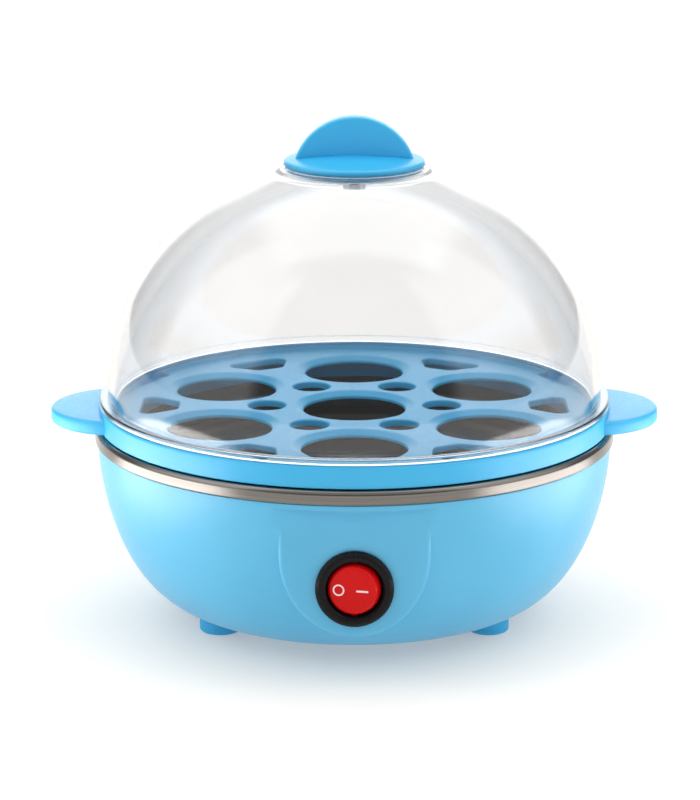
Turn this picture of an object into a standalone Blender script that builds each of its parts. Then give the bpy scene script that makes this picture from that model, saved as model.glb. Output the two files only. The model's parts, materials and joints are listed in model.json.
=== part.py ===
"""Electric egg cooker with seven egg seats, under a clear dome lid.

Standalone Blender 4.5 script, in metres, +Z up. The ground is Z = 0, the origin is on the axis of
the bowl, and the switch faces the front, -Y. Every sub-part is one named object.
"""

import math

import bmesh
import bpy
from mathutils import Matrix, Vector

MM = 0.001
UP = Vector((0, 0, 1))
FACE_FRONT = math.radians(90)  # turns a piece's own +Z to the front, -Y

# ---------------------------------------------------------------- driving dimensions
GAP = 0.3 * MM  # between pieces that rest on or face each other
RUNNING = 0.4 * MM  # round the rocker, which turns in its housing

# Egg seats set the width of everything
SEAT_PITCH = 47.5 * MM  # between the centres of neighbouring eggs
SEAT_RADIUS = 16.0 * MM
SEAT_BEVEL = 2.6 * MM
SEAT_BEVEL_DEPTH = 1.2 * MM
SEAT_MARGIN = 4.8 * MM  # from the outer seats' bevels to the tray's skirt
OUTER_SEATS = 6

# Tray
SKIRT_WALL = 1.5 * MM
SKIRT_DEPTH = 3.9 * MM
BAND_HEIGHT = 6.7 * MM
BAND_WALL = 3.0 * MM
BAND_EDGE = 0.8 * MM
FLANGE_WALL = 2.2 * MM  # on both sides of the groove under the tray's edge
GROOVE_ROOF = 1.4 * MM  # between the groove and the pockets
BAND_INSET = 1.4 * MM  # inside the steel rim
DECK_DROP = 2.1 * MM  # below the top of the band
DECK_THICKNESS = 2.0 * MM
FILLET_WIDTH = 1.2 * MM  # between the deck and the band's inner wall
FILLET_HEIGHT = 0.9 * MM
EAR_REACH = 15.2 * MM  # past the band
EAR_RADIUS = 22.5 * MM
EAR_THICKNESS = 4.4 * MM
EAR_RAISE = 0.4 * MM  # above the underside of the band
EAR_EDGE = 0.6 * MM
VENT_INNER = 55.0 * MM - SEAT_PITCH  # inner edge of an outer steam opening, past the seat circle
VENT_INNER_WIDTH = 9.0 * MM
VENT_OUTER_WIDTH = 26.0 * MM
VENT_RIM = 4.0 * MM  # deck between a steam opening and the skirt
VENT_CORNER = 3.0 * MM
STEAM_HOLE_RADIUS = 6.0 * MM
POCKET_WIDTH = 17.0 * MM
POCKET_REACH = 4.5 * MM
POCKET_DEPTH = 1.4 * MM
POCKET_ANGLE = math.radians(117)  # from the front, on both sides

# Heating pan
PAN_CLEARANCE = 0.5 * MM  # round the tray's skirt
PAN_SHEET = 0.8 * MM
PAN_DEPTH = 14.3 * MM
PAN_FLANGE = 7.5 * MM  # from the basin to the outside of the rim
PAN_CORNER = 6.5 * MM
PAN_HIP = 1.6 * MM  # bend from the basin to its flange
RIM_HEIGHT = 4.3 * MM
RIM_ROLL = 1.5 * MM
RIM_EDGE = 0.3 * MM  # taken off the rolled rim's lower edge
RIM_EDGE_HEIGHT = 0.9 * MM
GASKET_HEIGHT = 0.8 * MM
GASKET_WIDTH = 1.2 * MM

# Bowl
FOOT_HEIGHT = 4.4 * MM
BOWL_DEPTH = 51.8 * MM
BOWL_INSET = 0.8 * MM  # inside the steel rim, at the bowl's edge
BOWL_FLAT = 50.0 * MM  # radius of the flat bottom
BOWL_BELLY = 4.5 * MM  # widest level of the bowl's curve, above its edge
BOWL_WALL = 2.4 * MM

# Switch face and switch
FACE_INSET = 3.6 * MM  # flat face, inside the bowl's edge
FACE_LIP = 1.6 * MM  # bowl edge that stays above the face
FACE_HALF_WIDTH = 22.3 * MM
FACE_BELOW = 15.3 * MM  # lowest point of the face, below the switch
FACE_CURVE = 25.0 * MM  # height of the face's rounded lower end
FACE_EDGE = 1.2 * MM
SWITCH_DROP = 26.1 * MM  # below the bowl's edge
BARREL_RADIUS = 9.7 * MM
BARREL_LENGTH = 17.0 * MM
BARREL_WALL = 1.35 * MM
BARREL_FLOOR = 2.0 * MM
BEZEL_LIP = 1.9 * MM  # past the barrel
BEZEL_DEPTH = 2.0 * MM
BEZEL_ROUND = 1.5 * MM
BEZEL_CHAMFER = 0.5 * MM
ROCKER_FACE = 3.8 * MM  # in front of its pivot
ROCKER_EDGE = 0.7 * MM
ROCKER_BACK = 2.6 * MM
ROCKER_TILT = math.radians(12)  # to each side
PIVOT_INSET = 3.5 * MM  # pivot behind the front of the bezel
PIN_RADIUS = 1.2 * MM
PIN_REACH = 0.7 * MM
STEM_RADIUS = 2.4 * MM
STEM_WALL = 0.7 * MM
STEM_LENGTH = 6.0 * MM
STEM_FLOOR = 1.0 * MM  # end of the stem's bore, behind the pivot
PLUNGER_REACH = 9.0 * MM  # plunger tip behind the pivot
PLUNGER_GRIP = 1.6 * MM  # length of the plunger inside the stem
SPRING_WIRE = 0.2 * MM
SPRING_TURNS = 4
SPRING_STEPS = 6
LEVER_TILT = math.radians(10)  # to each side
LEVER_HALF = 6.2 * MM
LEVER_WIDTH = 4.0 * MM
LEVER_CORNER = 1.0 * MM
TAB_WIDTH = 6.3 * MM
TAB_SHEET = 0.8 * MM
TAB_CORNER = 0.9 * MM
TAB_REACH = 9.0 * MM  # behind the housing
LOAD_TAB_OFFSET = 5.2 * MM

# Heater stack
PLATE_RADIUS = 38.0 * MM
PLATE_THICKNESS = 2.5 * MM
ELEMENT_RADIUS = 30.0 * MM
ELEMENT_TUBE = 3.25 * MM
ELEMENT_OPEN = math.radians(30)  # half of the element's open angle, at the rear
ELEMENT_DROP = 9.0 * MM
COLD_PIN_RADIUS = 1.3 * MM
COLD_PIN_LENGTH = 7.0 * MM
BRACKET_SHEET = 1.2 * MM
BRACKET_HUB = 21.0 * MM
BRACKET_ARM = 10.0 * MM
THERMOSTAT_RADIUS = 7.8 * MM
THERMOSTAT_BODY = 8.5 * MM
THERMOSTAT_CAP = 3.0 * MM
CAP_INSET = 0.6 * MM  # inside the thermostat's body
SPADE_WIDTH = 4.8 * MM
SPADE_START = 2.5 * MM  # from the axis
SPADE_REACH = 6.0 * MM  # past the thermostat's body
SPADE_CORNER = 0.8 * MM
HEATER_SCREW_CIRCLE = 15.5 * MM
HEATER_SCREW_RADIUS = 1.5 * MM
HEATER_HEAD_RADIUS = 3.0 * MM
HEATER_HEAD_HEIGHT = 1.8 * MM
EARTH_TAG_WIDTH = 7.0 * MM
EARTH_TAG_LENGTH = 14.0 * MM
EARTH_TAG_CORNER = 2.0 * MM

# Feet, posts and screws
FOOT_CIRCLE = 48.0 * MM
FOOT_LIP = 1.9 * MM  # of the pad, past the stem
FOOT_EDGE = 1.0 * MM
FOOT_STEM_RADIUS = 4.6 * MM
FOOT_STEM_LENGTH = 4.2 * MM
FOOT_ANGLES = {"front_left": -60, "front_right": 60, "rear": 180}
POST_RADIUS = 7.0 * MM
SHELF = 3.0 * MM  # plastic between a foot's socket and the inside of its post
SCREW_RADIUS = 2.0 * MM
SCREW_HEAD_RADIUS = 3.8 * MM
SCREW_HEAD_HEIGHT = 2.2 * MM
NUT_RADIUS = 3.9 * MM
NUT_HEIGHT = 2.8 * MM

# Bottom cover
COVER_RADIUS = 38.0 * MM
COVER_THICKNESS = 1.6 * MM
COVER_RING = 7.0 * MM  # shell under the cover's edge
COVER_SCREW_ANGLES = {"front": 0, "left": -120, "right": 120}
COVER_SCREW_RADIUS = 1.2 * MM
COVER_HEAD_RADIUS = 2.4 * MM
COVER_HEAD_HEIGHT = 1.4 * MM
COVER_BOSS_RADIUS = 3.4 * MM
COVER_BOSS_HEIGHT = 8.0 * MM
VENT_SLOTS = 9
SLOT_WIDTH = 2.4 * MM
SLOT_INNER = 13.0 * MM
SLOT_OUTER = 27.0 * MM

# Lid
LIP_INSET = 0.2 * MM  # inside the tray's band
LIP_WIDTH = 2.5 * MM
LIP_HEIGHT = 1.7 * MM
LID_SKIRT_WALL = 1.6 * MM
DOME_WALL = 2.0 * MM
DOME_SINK = 0.6 * MM  # centre of the dome's sphere, below the top of the lip
KNOB_RADIUS = 21.8 * MM
KNOB_THICKNESS = 2.2 * MM
KNOB_CROWN = 1.5 * MM
SEAT_LIP = 0.9 * MM  # clear rim round the knob
SHOULDER = 6.0 * MM  # flattened part of the dome round the knob
SHOULDER_FALL = 1.1 * MM
SEAT_SINK = 0.4 * MM
LIP_EDGE = 0.5 * MM
GRIP_HEIGHT = 13.6 * MM
GRIP_HALF_WIDTH = 18.3 * MM
GRIP_THICKNESS = 5.6 * MM
GRIP_EDGE = 1.2 * MM
KNOB_SCREW_RADIUS = 1.4 * MM
KNOB_SCREW_REACH = 11.0 * MM
KNOB_HEAD_RADIUS = 3.4 * MM
KNOB_HEAD_HEIGHT = 2.0 * MM
WASHER_RADIUS = 5.0 * MM
WASHER_HEIGHT = 0.8 * MM

# Cord inlet, terminal block and wires
GLAND_HEIGHT = 24.0 * MM
GLAND_RADIUS = 4.5 * MM
GLAND_FLANGE = 6.6 * MM
GLAND_FLANGE_HEIGHT = 1.8 * MM
GLAND_EDGE = 0.8 * MM
GLAND_REACH = 6.5 * MM  # inside the wall
GLAND_BORE = 2.9 * MM
GLAND_PAD_RADIUS = 8.5 * MM
GLAND_PAD_PROUD = 0.2 * MM  # past the bowl, at the top of the gland's flange
BLOCK_SIZE = (16.0 * MM, 10.0 * MM, 8.0 * MM)
BLOCK_ANGLE = 150
BLOCK_CIRCLE = 41.0 * MM
BLOCK_EDGE = 0.8 * MM
TERMINAL_PITCH = 5.0 * MM
WIRE_RADIUS = 0.9 * MM
WIRE_LEAD = 4.0 * MM  # straight part at a terminal
WIRE_DROP = 5.0 * MM  # straight part under a pin
WIRE_SPACING = 8.0 * MM
FUSE_RADIUS = 2.4 * MM
FUSE_LENGTH = 16.0 * MM
# Chosen points of the wires, above the bowl's inside or below the thermostat's tabs
LIVE_RISE = 10.0 * MM
LIVE_POINTS = ((17.0 * MM, 8.0 * MM, 0), (11.0 * MM, -22.0 * MM, 4.0 * MM))
SWITCH_POINT = (-19.0 * MM, -14.0 * MM, -2.0 * MM)
FUSE_POINT = (25.0 * MM, 12.0 * MM, -5.0 * MM)

# Smoothness of round pieces
BODY_STEPS = 36
SMALL_STEPS = 16
SWITCH_STEPS = 24
SCREW_STEPS = 12
KNOB_STEPS = 28
THROUGH = 1.0 * MM  # how far a cutter runs past what it cuts

# ---------------------------------------------------------------- sizes that follow
SKIRT_IN = SEAT_PITCH + SEAT_RADIUS + SEAT_BEVEL + SEAT_MARGIN
SKIRT_OUT = SKIRT_IN + SKIRT_WALL
BASIN_IN = SKIRT_OUT + PAN_CLEARANCE
BASIN_OUT = BASIN_IN + PAN_SHEET
RIM_RADIUS = BASIN_OUT + PAN_FLANGE
BAND_RADIUS = RIM_RADIUS - BAND_INSET
BAND_IN = BAND_RADIUS - BAND_WALL
BOWL_RADIUS = RIM_RADIUS - BOWL_INSET
SPIGOT_RADIUS = RIM_RADIUS - PAN_SHEET - GAP

BOWL_BOTTOM = FOOT_HEIGHT + GAP
BOWL_EDGE = BOWL_BOTTOM + BOWL_DEPTH
BOWL_INSIDE = BOWL_BOTTOM + BOWL_WALL
RIM_BOTTOM = BOWL_EDGE + GAP
RIM_TOP = RIM_BOTTOM + RIM_HEIGHT
SPIGOT_TOP = RIM_TOP - PAN_SHEET - GASKET_HEIGHT - 2 * GAP
BASIN_FLOOR = RIM_TOP - PAN_DEPTH
BAND_BOTTOM = RIM_TOP + GAP
BAND_TOP = BAND_BOTTOM + BAND_HEIGHT
DECK_TOP = BAND_TOP - DECK_DROP
DECK_BOTTOM = DECK_TOP - DECK_THICKNESS

BELLY_Z = BOWL_EDGE + BOWL_BELLY
BELLY_HEIGHT = BELLY_Z - BOWL_BOTTOM
BELLY_WIDTH = (BOWL_RADIUS - BOWL_FLAT) / math.sqrt(1 - (BOWL_BELLY / BELLY_HEIGHT) ** 2)

LIP_RADIUS = BAND_RADIUS - LIP_INSET
LIP_BOTTOM = BAND_TOP + GAP
LIP_TOP = LIP_BOTTOM + LIP_HEIGHT
DOME_RADIUS = LIP_RADIUS - LIP_WIDTH
DOME_CENTRE = LIP_TOP - DOME_SINK
SEAT_EDGE = KNOB_RADIUS + SEAT_LIP
SHOULDER_RADIUS = SEAT_EDGE + SHOULDER
SHOULDER_Z = DOME_CENTRE + math.sqrt(DOME_RADIUS**2 - SHOULDER_RADIUS**2)
DOME_TOP = SHOULDER_Z + SHOULDER_FALL
KNOB_BOTTOM = DOME_TOP - SEAT_SINK + GAP
KNOB_TOP = KNOB_BOTTOM + KNOB_THICKNESS

FACE_Y = -(BOWL_RADIUS - FACE_INSET)
SWITCH_Z = BOWL_EDGE - SWITCH_DROP
BEZEL_BACK = FACE_Y - GAP
BEZEL_FRONT = BEZEL_BACK - BEZEL_DEPTH
PIVOT_Y = BEZEL_FRONT + PIVOT_INSET
BORE_RADIUS = BARREL_RADIUS - BARREL_WALL
BEZEL_RADIUS = BARREL_RADIUS + BEZEL_LIP
ROCKER_RADIUS = BORE_RADIUS - RUNNING
HOUSING_BACK = BEZEL_BACK + BARREL_LENGTH
LEVER_Y = PIVOT_Y + PLUNGER_REACH + GAP + TAB_SHEET / 2

PLATE_TOP = BASIN_FLOOR - PAN_SHEET - GAP
PLATE_BOTTOM = PLATE_TOP - PLATE_THICKNESS
ELEMENT_Z = PLATE_BOTTOM - GAP - ELEMENT_TUBE
BRACKET_TOP = ELEMENT_Z - ELEMENT_TUBE - GAP
BRACKET_BOTTOM = BRACKET_TOP - BRACKET_SHEET
POST_TOP = BRACKET_BOTTOM - GAP
FOOT_RADIUS = FOOT_STEM_RADIUS + FOOT_LIP
SOCKET_TOP = BOWL_BOTTOM + FOOT_STEM_LENGTH + GAP + SCREW_HEAD_HEIGHT + 2 * GAP
THERMOSTAT_TOP = PLATE_BOTTOM - GAP
THERMOSTAT_BODY_TOP = THERMOSTAT_TOP - THERMOSTAT_CAP - GAP
THERMOSTAT_BOTTOM = THERMOSTAT_BODY_TOP - THERMOSTAT_BODY
COVER_SCREW_CIRCLE = COVER_RADIUS - COVER_BOSS_RADIUS - GAP
COLD_PIN_TOP = ELEMENT_Z - ELEMENT_DROP - GAP


# ---------------------------------------------------------------- scene and materials
def clear_scene():
    for obj in list(bpy.data.objects):
        bpy.data.objects.remove(obj, do_unlink=True)


def new_collection(name, parent):
    collection = bpy.data.collections.new(name)
    parent.children.link(collection)
    return collection


clear_scene()
PARTS = new_collection("egg_cooker", bpy.context.scene.collection)
CUTTERS = new_collection("egg_cooker_cutters", bpy.context.scene.collection)

# name: colour, roughness, metallic, transmission
FINISHES = {
    "blue_plastic": ((0.12, 0.46, 0.72), 0.30, 0.0, 0.0),
    "clear_plastic": ((0.96, 0.97, 0.98), 0.05, 0.0, 0.95),
    "stainless_steel": ((0.62, 0.60, 0.58), 0.28, 1.0, 0.0),
    "zinc_steel": ((0.66, 0.67, 0.69), 0.35, 1.0, 0.0),
    "aluminium": ((0.78, 0.79, 0.80), 0.45, 1.0, 0.0),
    "brass": ((0.72, 0.54, 0.22), 0.30, 1.0, 0.0),
    "silicone": ((0.80, 0.80, 0.78), 0.60, 0.0, 0.0),
    "black_plastic": ((0.02, 0.02, 0.022), 0.35, 0.0, 0.0),
    "red_plastic": ((0.72, 0.02, 0.03), 0.25, 0.0, 0.0),
    "white_nylon": ((0.85, 0.85, 0.82), 0.50, 0.0, 0.0),
    "blue_rubber": ((0.22, 0.55, 0.80), 0.65, 0.0, 0.0),
    "red_wire": ((0.55, 0.05, 0.05), 0.50, 0.0, 0.0),
    "blue_wire": ((0.05, 0.12, 0.50), 0.50, 0.0, 0.0),
    "earth_wire": ((0.20, 0.50, 0.10), 0.50, 0.0, 0.0),
    "white_sleeve": ((0.82, 0.82, 0.80), 0.60, 0.0, 0.0),
}


def finish(obj, kind):
    """Gives the object a Principled material of its own, in one of the finishes."""
    color, roughness, metallic, transmission = FINISHES[kind]
    material = bpy.data.materials.new(f"{obj.name}_{kind}")
    material.use_nodes = True
    shader = material.node_tree.nodes["Principled BSDF"]
    shader.inputs["Base Color"].default_value = (*color, 1.0)
    shader.inputs["Roughness"].default_value = roughness
    shader.inputs["Metallic"].default_value = metallic
    shader.inputs["Transmission Weight"].default_value = transmission
    obj.data.materials.clear()
    obj.data.materials.append(material)
    return obj


# ---------------------------------------------------------------- modelling tools
def add_object(name, data, collection):
    obj = bpy.data.objects.new(name, data)
    collection.objects.link(obj)
    if collection is not PARTS:
        obj.hide_render = True
        obj.display_type = "WIRE"
    return obj


def arc(centre, radii, start, end, count):
    """Points on an ellipse's arc, both ends included. Angles are in degrees, from +x towards +z."""
    points = []
    for i in range(count + 1):
        angle = math.radians(start + (end - start) * i / count)
        x = centre[0] + radii[0] * math.cos(angle)
        points.append((x, centre[1] + radii[1] * math.sin(angle)))
    return points


def circle(radius, count=SMALL_STEPS, centre=(0, 0)):
    return arc(centre, (radius, radius), 0, 360 * (1 - 1 / count), count - 1)


def rectangle(width, height, centre=(0, 0)):
    x, y = centre
    w, h = width / 2, height / 2
    return [(x - w, y - h), (x + w, y - h), (x + w, y + h), (x - w, y + h)]


def round_corners(points, radius, count=3):
    """The outline with each corner replaced by an arc of that radius."""
    result = []
    for i, point in enumerate(points):
        corner = Vector(point)
        before = (Vector(points[i - 1]) - corner).normalized()
        after = (Vector(points[(i + 1) % len(points)]) - corner).normalized()
        half = before.angle(after) / 2
        centre = corner + (before + after).normalized() * radius / math.sin(half)
        first = corner + before * radius / math.tan(half) - centre
        last = corner + after * radius / math.tan(half) - centre
        for k in range(count + 1):
            spoke = first.lerp(last, k / count).normalized() * radius
            result.append(tuple(centre + spoke))
    return result


def place_at(radius, degrees):
    """A point at that distance from the axis. The angle is from the front towards +X."""
    angle = math.radians(degrees)
    return radius * math.sin(angle), -radius * math.cos(angle)


def turned(name, profile, steps=BODY_STEPS, collection=PARTS, on_axis=False):
    """A profile in the XZ plane turned about Z. It is a closed loop unless both ends are on the axis."""
    mesh = bpy.data.meshes.new(name)
    count = len(profile)
    edges = [(i, i + 1) for i in range(count - 1)]
    if not on_axis:
        edges.append((count - 1, 0))
    mesh.from_pydata([(x, 0, z) for x, z in profile], edges, [])
    obj = add_object(name, mesh, collection)
    screw = obj.modifiers.new("turn", "SCREW")
    screw.axis = "Z"
    screw.steps = steps
    screw.render_steps = steps
    screw.use_merge_vertices = True
    screw.merge_threshold = 0.00001
    screw.use_smooth_shade = True
    return obj


def rod(name, radius, low, high, steps=SCREW_STEPS, collection=PARTS):
    """A plain round bar along Z, from a cone primitive of equal ends."""
    mesh = bpy.data.meshes.new(name)
    shape = bmesh.new()
    bmesh.ops.create_cone(
        shape,
        cap_ends=True,
        segments=steps,
        radius1=radius,
        radius2=radius,
        depth=high - low,
        matrix=Matrix.Translation((0, 0, (low + high) / 2)),
    )
    shape.to_mesh(mesh)
    shape.free()
    return add_object(name, mesh, collection)


def block(name, size, centre, collection=PARTS):
    mesh = bpy.data.meshes.new(name)
    shape = bmesh.new()
    bmesh.ops.create_cube(shape, size=1, matrix=Matrix.Diagonal((*size, 1)))
    shape.to_mesh(mesh)
    shape.free()
    obj = add_object(name, mesh, collection)
    obj.location = centre
    return obj


def as_mesh(obj, collection):
    """The curve object as a mesh object with its caps welded on."""
    mesh = bpy.data.meshes.new_from_object(obj)
    shape = bmesh.new()
    shape.from_mesh(mesh)
    bmesh.ops.remove_doubles(shape, verts=shape.verts, dist=0.000001)
    bmesh.ops.recalc_face_normals(shape, faces=shape.faces)
    shape.to_mesh(mesh)
    shape.free()
    name = obj.name
    bpy.data.objects.remove(obj, do_unlink=True)
    mesh.name = name
    return add_object(name, mesh, collection)


def plate(name, outlines, thickness, collection=PARTS):
    """A flat plate in the XY plane, half its thickness to each side. The later outlines are holes."""
    curve = bpy.data.curves.new(name, "CURVE")
    curve.dimensions = "2D"
    curve.fill_mode = "BOTH"
    curve.extrude = thickness / 2
    for outline in outlines:
        spline = curve.splines.new("POLY")
        spline.points.add(len(outline) - 1)
        for point, (x, y) in zip(spline.points, outline):
            point.co = (x, y, 0, 1)
        spline.use_cyclic_u = True
    guide = add_object(name, curve, collection)
    return as_mesh(guide, collection)


def wire(name, points, radius, sides=2, collection=PARTS):
    """A round wire along the points, with flat ends."""
    curve = bpy.data.curves.new(name, "CURVE")
    curve.dimensions = "3D"
    curve.bevel_depth = radius
    curve.bevel_resolution = sides
    curve.use_fill_caps = True
    spline = curve.splines.new("POLY")
    spline.points.add(len(points) - 1)
    for point, place in zip(spline.points, points):
        point.co = (*place, 1)
    guide = add_object(name, curve, collection)
    return as_mesh(guide, collection)


def smooth_route(route, spacing):
    """Points along the smooth curve through the route's own points, about that far apart."""
    ends = [Vector(p) for p in route]
    ends = [2 * ends[0] - ends[1], *ends, 2 * ends[-1] - ends[-2]]
    points = [ends[1]]
    for a, b, c, d in zip(ends, ends[1:], ends[2:], ends[3:]):
        count = max(1, round((c - b).length / spacing))
        for i in range(1, count + 1):
            t = i / count
            bend = (2 * a - 5 * b + 4 * c - d) * t**2 + (3 * b - a - 3 * c + d) * t**3
            points.append((2 * b + (c - a) * t + bend) / 2)
    return points


def group_of(name, members):
    """The members in a collection of their own, for one Boolean."""
    group = new_collection(name, CUTTERS)
    for obj in members:
        group.objects.link(obj)
    return group


def combine(obj, operation, members, label):
    boolean = obj.modifiers.new(label, "BOOLEAN")
    boolean.operation = operation
    boolean.solver = "EXACT"
    if len(members) == 1:
        boolean.object = members[0]
        return
    boolean.operand_type = "COLLECTION"
    boolean.collection = group_of(f"{obj.name}_{label}", members)


def join(obj, members, label="join"):
    combine(obj, "UNION", members, label)


def cut(obj, members, label="cut"):
    combine(obj, "DIFFERENCE", members, label)


def soften(obj, width, segments=2, angle=30):
    """Rounds the sharp edges of the object."""
    bevel = obj.modifiers.new("soften", "BEVEL")
    bevel.width = width
    bevel.segments = segments
    bevel.limit_method = "ANGLE"
    bevel.angle_limit = math.radians(angle)


def shade(obj, angle=35):
    obj.data.shade_smooth()
    obj.data.set_sharp_from_angle(angle=math.radians(angle))


def stand_at(obj, x, y, z=0.0):
    obj.location = (x, y, z)
    return obj


def face_front(obj, x, y, z):
    """Places a piece so that its own +Z points to the front."""
    obj.rotation_euler = (FACE_FRONT, 0, 0)
    obj.location = (x, y, z)
    return obj


def bowl_radius(z, inset=0.0):
    """Radius of the bowl's outer curve at that height, or of its inside, with the wall as inset."""
    drop = (BELLY_Z - z) / (BELLY_HEIGHT - inset)
    return BOWL_FLAT + (BELLY_WIDTH - inset) * math.sqrt(max(0.0, 1 - drop**2))


def gland_pad_end():
    """Outer end of the flat pad that the cord gland's flange lies on."""
    return bowl_radius(GLAND_HEIGHT + GLAND_FLANGE) + GLAND_PAD_PROUD


def bowl_curve(inset, top, count):
    """The bowl's curve from that height down to the flat bottom, inset by a wall."""
    width = BELLY_WIDTH - inset
    height = BELLY_HEIGHT - inset
    start = -math.degrees(math.asin((BELLY_Z - top) / height))
    return arc((BOWL_FLAT, BELLY_Z), (width, height), start, -90, count)


# ---------------------------------------------------------------- base shell
def face_outline(inset, top):
    """The switch face's outline in X and Z: straight sides and a half-elliptic lower end."""
    half = FACE_HALF_WIDTH - inset
    centre = SWITCH_Z - FACE_BELOW + FACE_CURVE
    lower = arc((0, centre), (half, FACE_CURVE - inset), 180, 360, 14)
    return [(-half, top), *lower, (half, top)]


def face_prism(name, inset, front, back, top):
    prism = plate(name, [face_outline(inset, top)], back - front, CUTTERS)
    return face_front(prism, 0, (front + back) / 2, 0)


def shell_additions():
    boss_back = -(BOWL_FLAT - 2 * THROUGH)
    boss = face_prism("switch_boss", 0, FACE_Y, boss_back, BOWL_EDGE - FACE_LIP)
    soften(boss, FACE_EDGE)
    pad = rod("gland_pad", GLAND_PAD_RADIUS, -gland_pad_end(), -BOWL_FLAT, SMALL_STEPS, CUTTERS)
    face_front(pad, 0, 0, GLAND_HEIGHT)
    return [boss, pad]


def shell_inside():
    """Everything that is air inside the bowl. Behind the switch face it stops one wall short."""
    top = RIM_TOP + THROUGH
    curve = bowl_curve(BOWL_WALL, BOWL_EDGE, 7)
    profile = [(0, top), (curve[0][0], top), *curve]
    profile.append((0, BOWL_INSIDE))
    inside = turned("bowl_inside", profile, BODY_STEPS, CUTTERS, on_axis=True)
    wall_back = FACE_Y + BOWL_WALL
    reach = BOWL_RADIUS + wall_back + THROUGH
    size = (4 * FACE_HALF_WIDTH, reach, 3 * BOWL_DEPTH)
    stop = block("face_wall", size, (0, wall_back - reach / 2, BOWL_DEPTH), CUTTERS)
    cut(inside, [stop], "face_wall")
    pocket_top = BOWL_EDGE - FACE_LIP - BOWL_WALL
    pocket_end = -(BOWL_FLAT + 6 * THROUGH)
    pocket = face_prism("switch_pocket", BOWL_WALL, wall_back, pocket_end, pocket_top)
    return [inside, pocket]


def shell_front_cut():
    """Planes the bowl off at the switch face, below the lip that follows the rim."""
    top = BOWL_EDGE - FACE_LIP
    reach = FACE_INSET + THROUGH
    size = (4 * FACE_HALF_WIDTH, reach, top)
    return block("face_plane", size, (0, FACE_Y - reach / 2, top / 2), CUTTERS)


def shell_posts():
    posts = []
    for name, angle in FOOT_ANGLES.items():
        low = BOWL_INSIDE - THROUGH
        post = rod(f"post_{name}", POST_RADIUS, low, POST_TOP, SCREW_STEPS, CUTTERS)
        posts.append(stand_at(post, *place_at(FOOT_CIRCLE, angle)))
    for name, angle in COVER_SCREW_ANGLES.items():
        top = BOWL_INSIDE + COVER_BOSS_HEIGHT
        low = BOWL_BOTTOM + COVER_THICKNESS
        boss = rod(f"boss_{name}", COVER_BOSS_RADIUS, low, top, SCREW_STEPS, CUTTERS)
        posts.append(stand_at(boss, *place_at(COVER_SCREW_CIRCLE, angle)))
    return posts


def shell_holes():
    holes = []
    for name, angle in FOOT_ANGLES.items():
        socket_radius = FOOT_STEM_RADIUS + GAP
        low = BOWL_BOTTOM - THROUGH
        high = POST_TOP + THROUGH
        socket = [
            (0, high),
            (SCREW_RADIUS + GAP, high),
            (SCREW_RADIUS + GAP, SOCKET_TOP),
            (socket_radius, SOCKET_TOP),
            (socket_radius, low),
            (0, low),
        ]
        hole = turned(f"socket_{name}", socket, SMALL_STEPS, CUTTERS, on_axis=True)
        holes.append(stand_at(hole, *place_at(FOOT_CIRCLE, angle)))
    recess = COVER_THICKNESS + GAP
    high, low = BOWL_INSIDE + THROUGH, BOWL_BOTTOM - THROUGH
    seat = [
        (0, high),
        (COVER_RADIUS - COVER_RING, high),
        (COVER_RADIUS - COVER_RING, BOWL_BOTTOM + recess),
        (COVER_RADIUS + GAP, BOWL_BOTTOM + recess),
        (COVER_RADIUS + GAP, low),
        (0, low),
    ]
    holes.append(turned("cover_seat", seat, BODY_STEPS, CUTTERS, on_axis=True))
    for name, angle in COVER_SCREW_ANGLES.items():
        top = BOWL_INSIDE + COVER_BOSS_HEIGHT + THROUGH
        radius = COVER_SCREW_RADIUS + GAP
        pilot = rod(f"pilot_{name}", radius, BOWL_BOTTOM, top, SCREW_STEPS, CUTTERS)
        holes.append(stand_at(pilot, *place_at(COVER_SCREW_CIRCLE, angle)))
    deep = 2 * BOWL_WALL
    switch_hole = rod("switch_hole", BARREL_RADIUS + GAP, -deep, deep, SWITCH_STEPS, CUTTERS)
    holes.append(face_front(switch_hole, 0, FACE_Y, SWITCH_Z))
    pad_end = gland_pad_end() + THROUGH
    gland_hole = rod("gland_hole", GLAND_RADIUS + GAP, -pad_end, -BOWL_FLAT, SMALL_STEPS, CUTTERS)
    holes.append(face_front(gland_hole, 0, 0, GLAND_HEIGHT))
    return holes


def build_base_shell():
    outside = bowl_curve(0, BOWL_EDGE, 9)
    profile = [
        (0, SPIGOT_TOP),
        (SPIGOT_RADIUS, SPIGOT_TOP),
        (SPIGOT_RADIUS, BOWL_EDGE),
        *outside,
        (0, BOWL_BOTTOM),
    ]
    shell = turned("base_shell", profile, on_axis=True)
    join(shell, shell_additions(), "additions")
    cut(shell, [shell_front_cut()], "front")
    cut(shell, shell_inside(), "inside")
    join(shell, shell_posts(), "posts")
    cut(shell, shell_holes(), "holes")
    finish(shell, "blue_plastic")


# ---------------------------------------------------------------- bottom of the base
def build_feet():
    for name, angle in FOOT_ANGLES.items():
        stem_top = BOWL_BOTTOM + FOOT_STEM_LENGTH
        profile = [
            (0, stem_top),
            (FOOT_STEM_RADIUS, stem_top),
            (FOOT_STEM_RADIUS, FOOT_HEIGHT),
            (FOOT_RADIUS, FOOT_HEIGHT),
            *arc((FOOT_RADIUS - FOOT_EDGE, FOOT_EDGE), (FOOT_EDGE, FOOT_EDGE), 0, -90, 2),
            (0, 0),
        ]
        foot = turned(f"foot_{name}", profile, SMALL_STEPS, on_axis=True)
        stand_at(foot, *place_at(FOOT_CIRCLE, angle))
        finish(foot, "blue_rubber")


def screw_profile(head_radius, head_height, shaft_radius, base, tip):
    """A screw that stands on its head: the head is below, and the point is above."""
    return [
        (0, tip),
        (shaft_radius, tip),
        (shaft_radius, base + head_height),
        (head_radius, base + head_height),
        (head_radius, base + head_height / 3),
        (head_radius * 0.8, base),
        (0, base),
    ]


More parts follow.
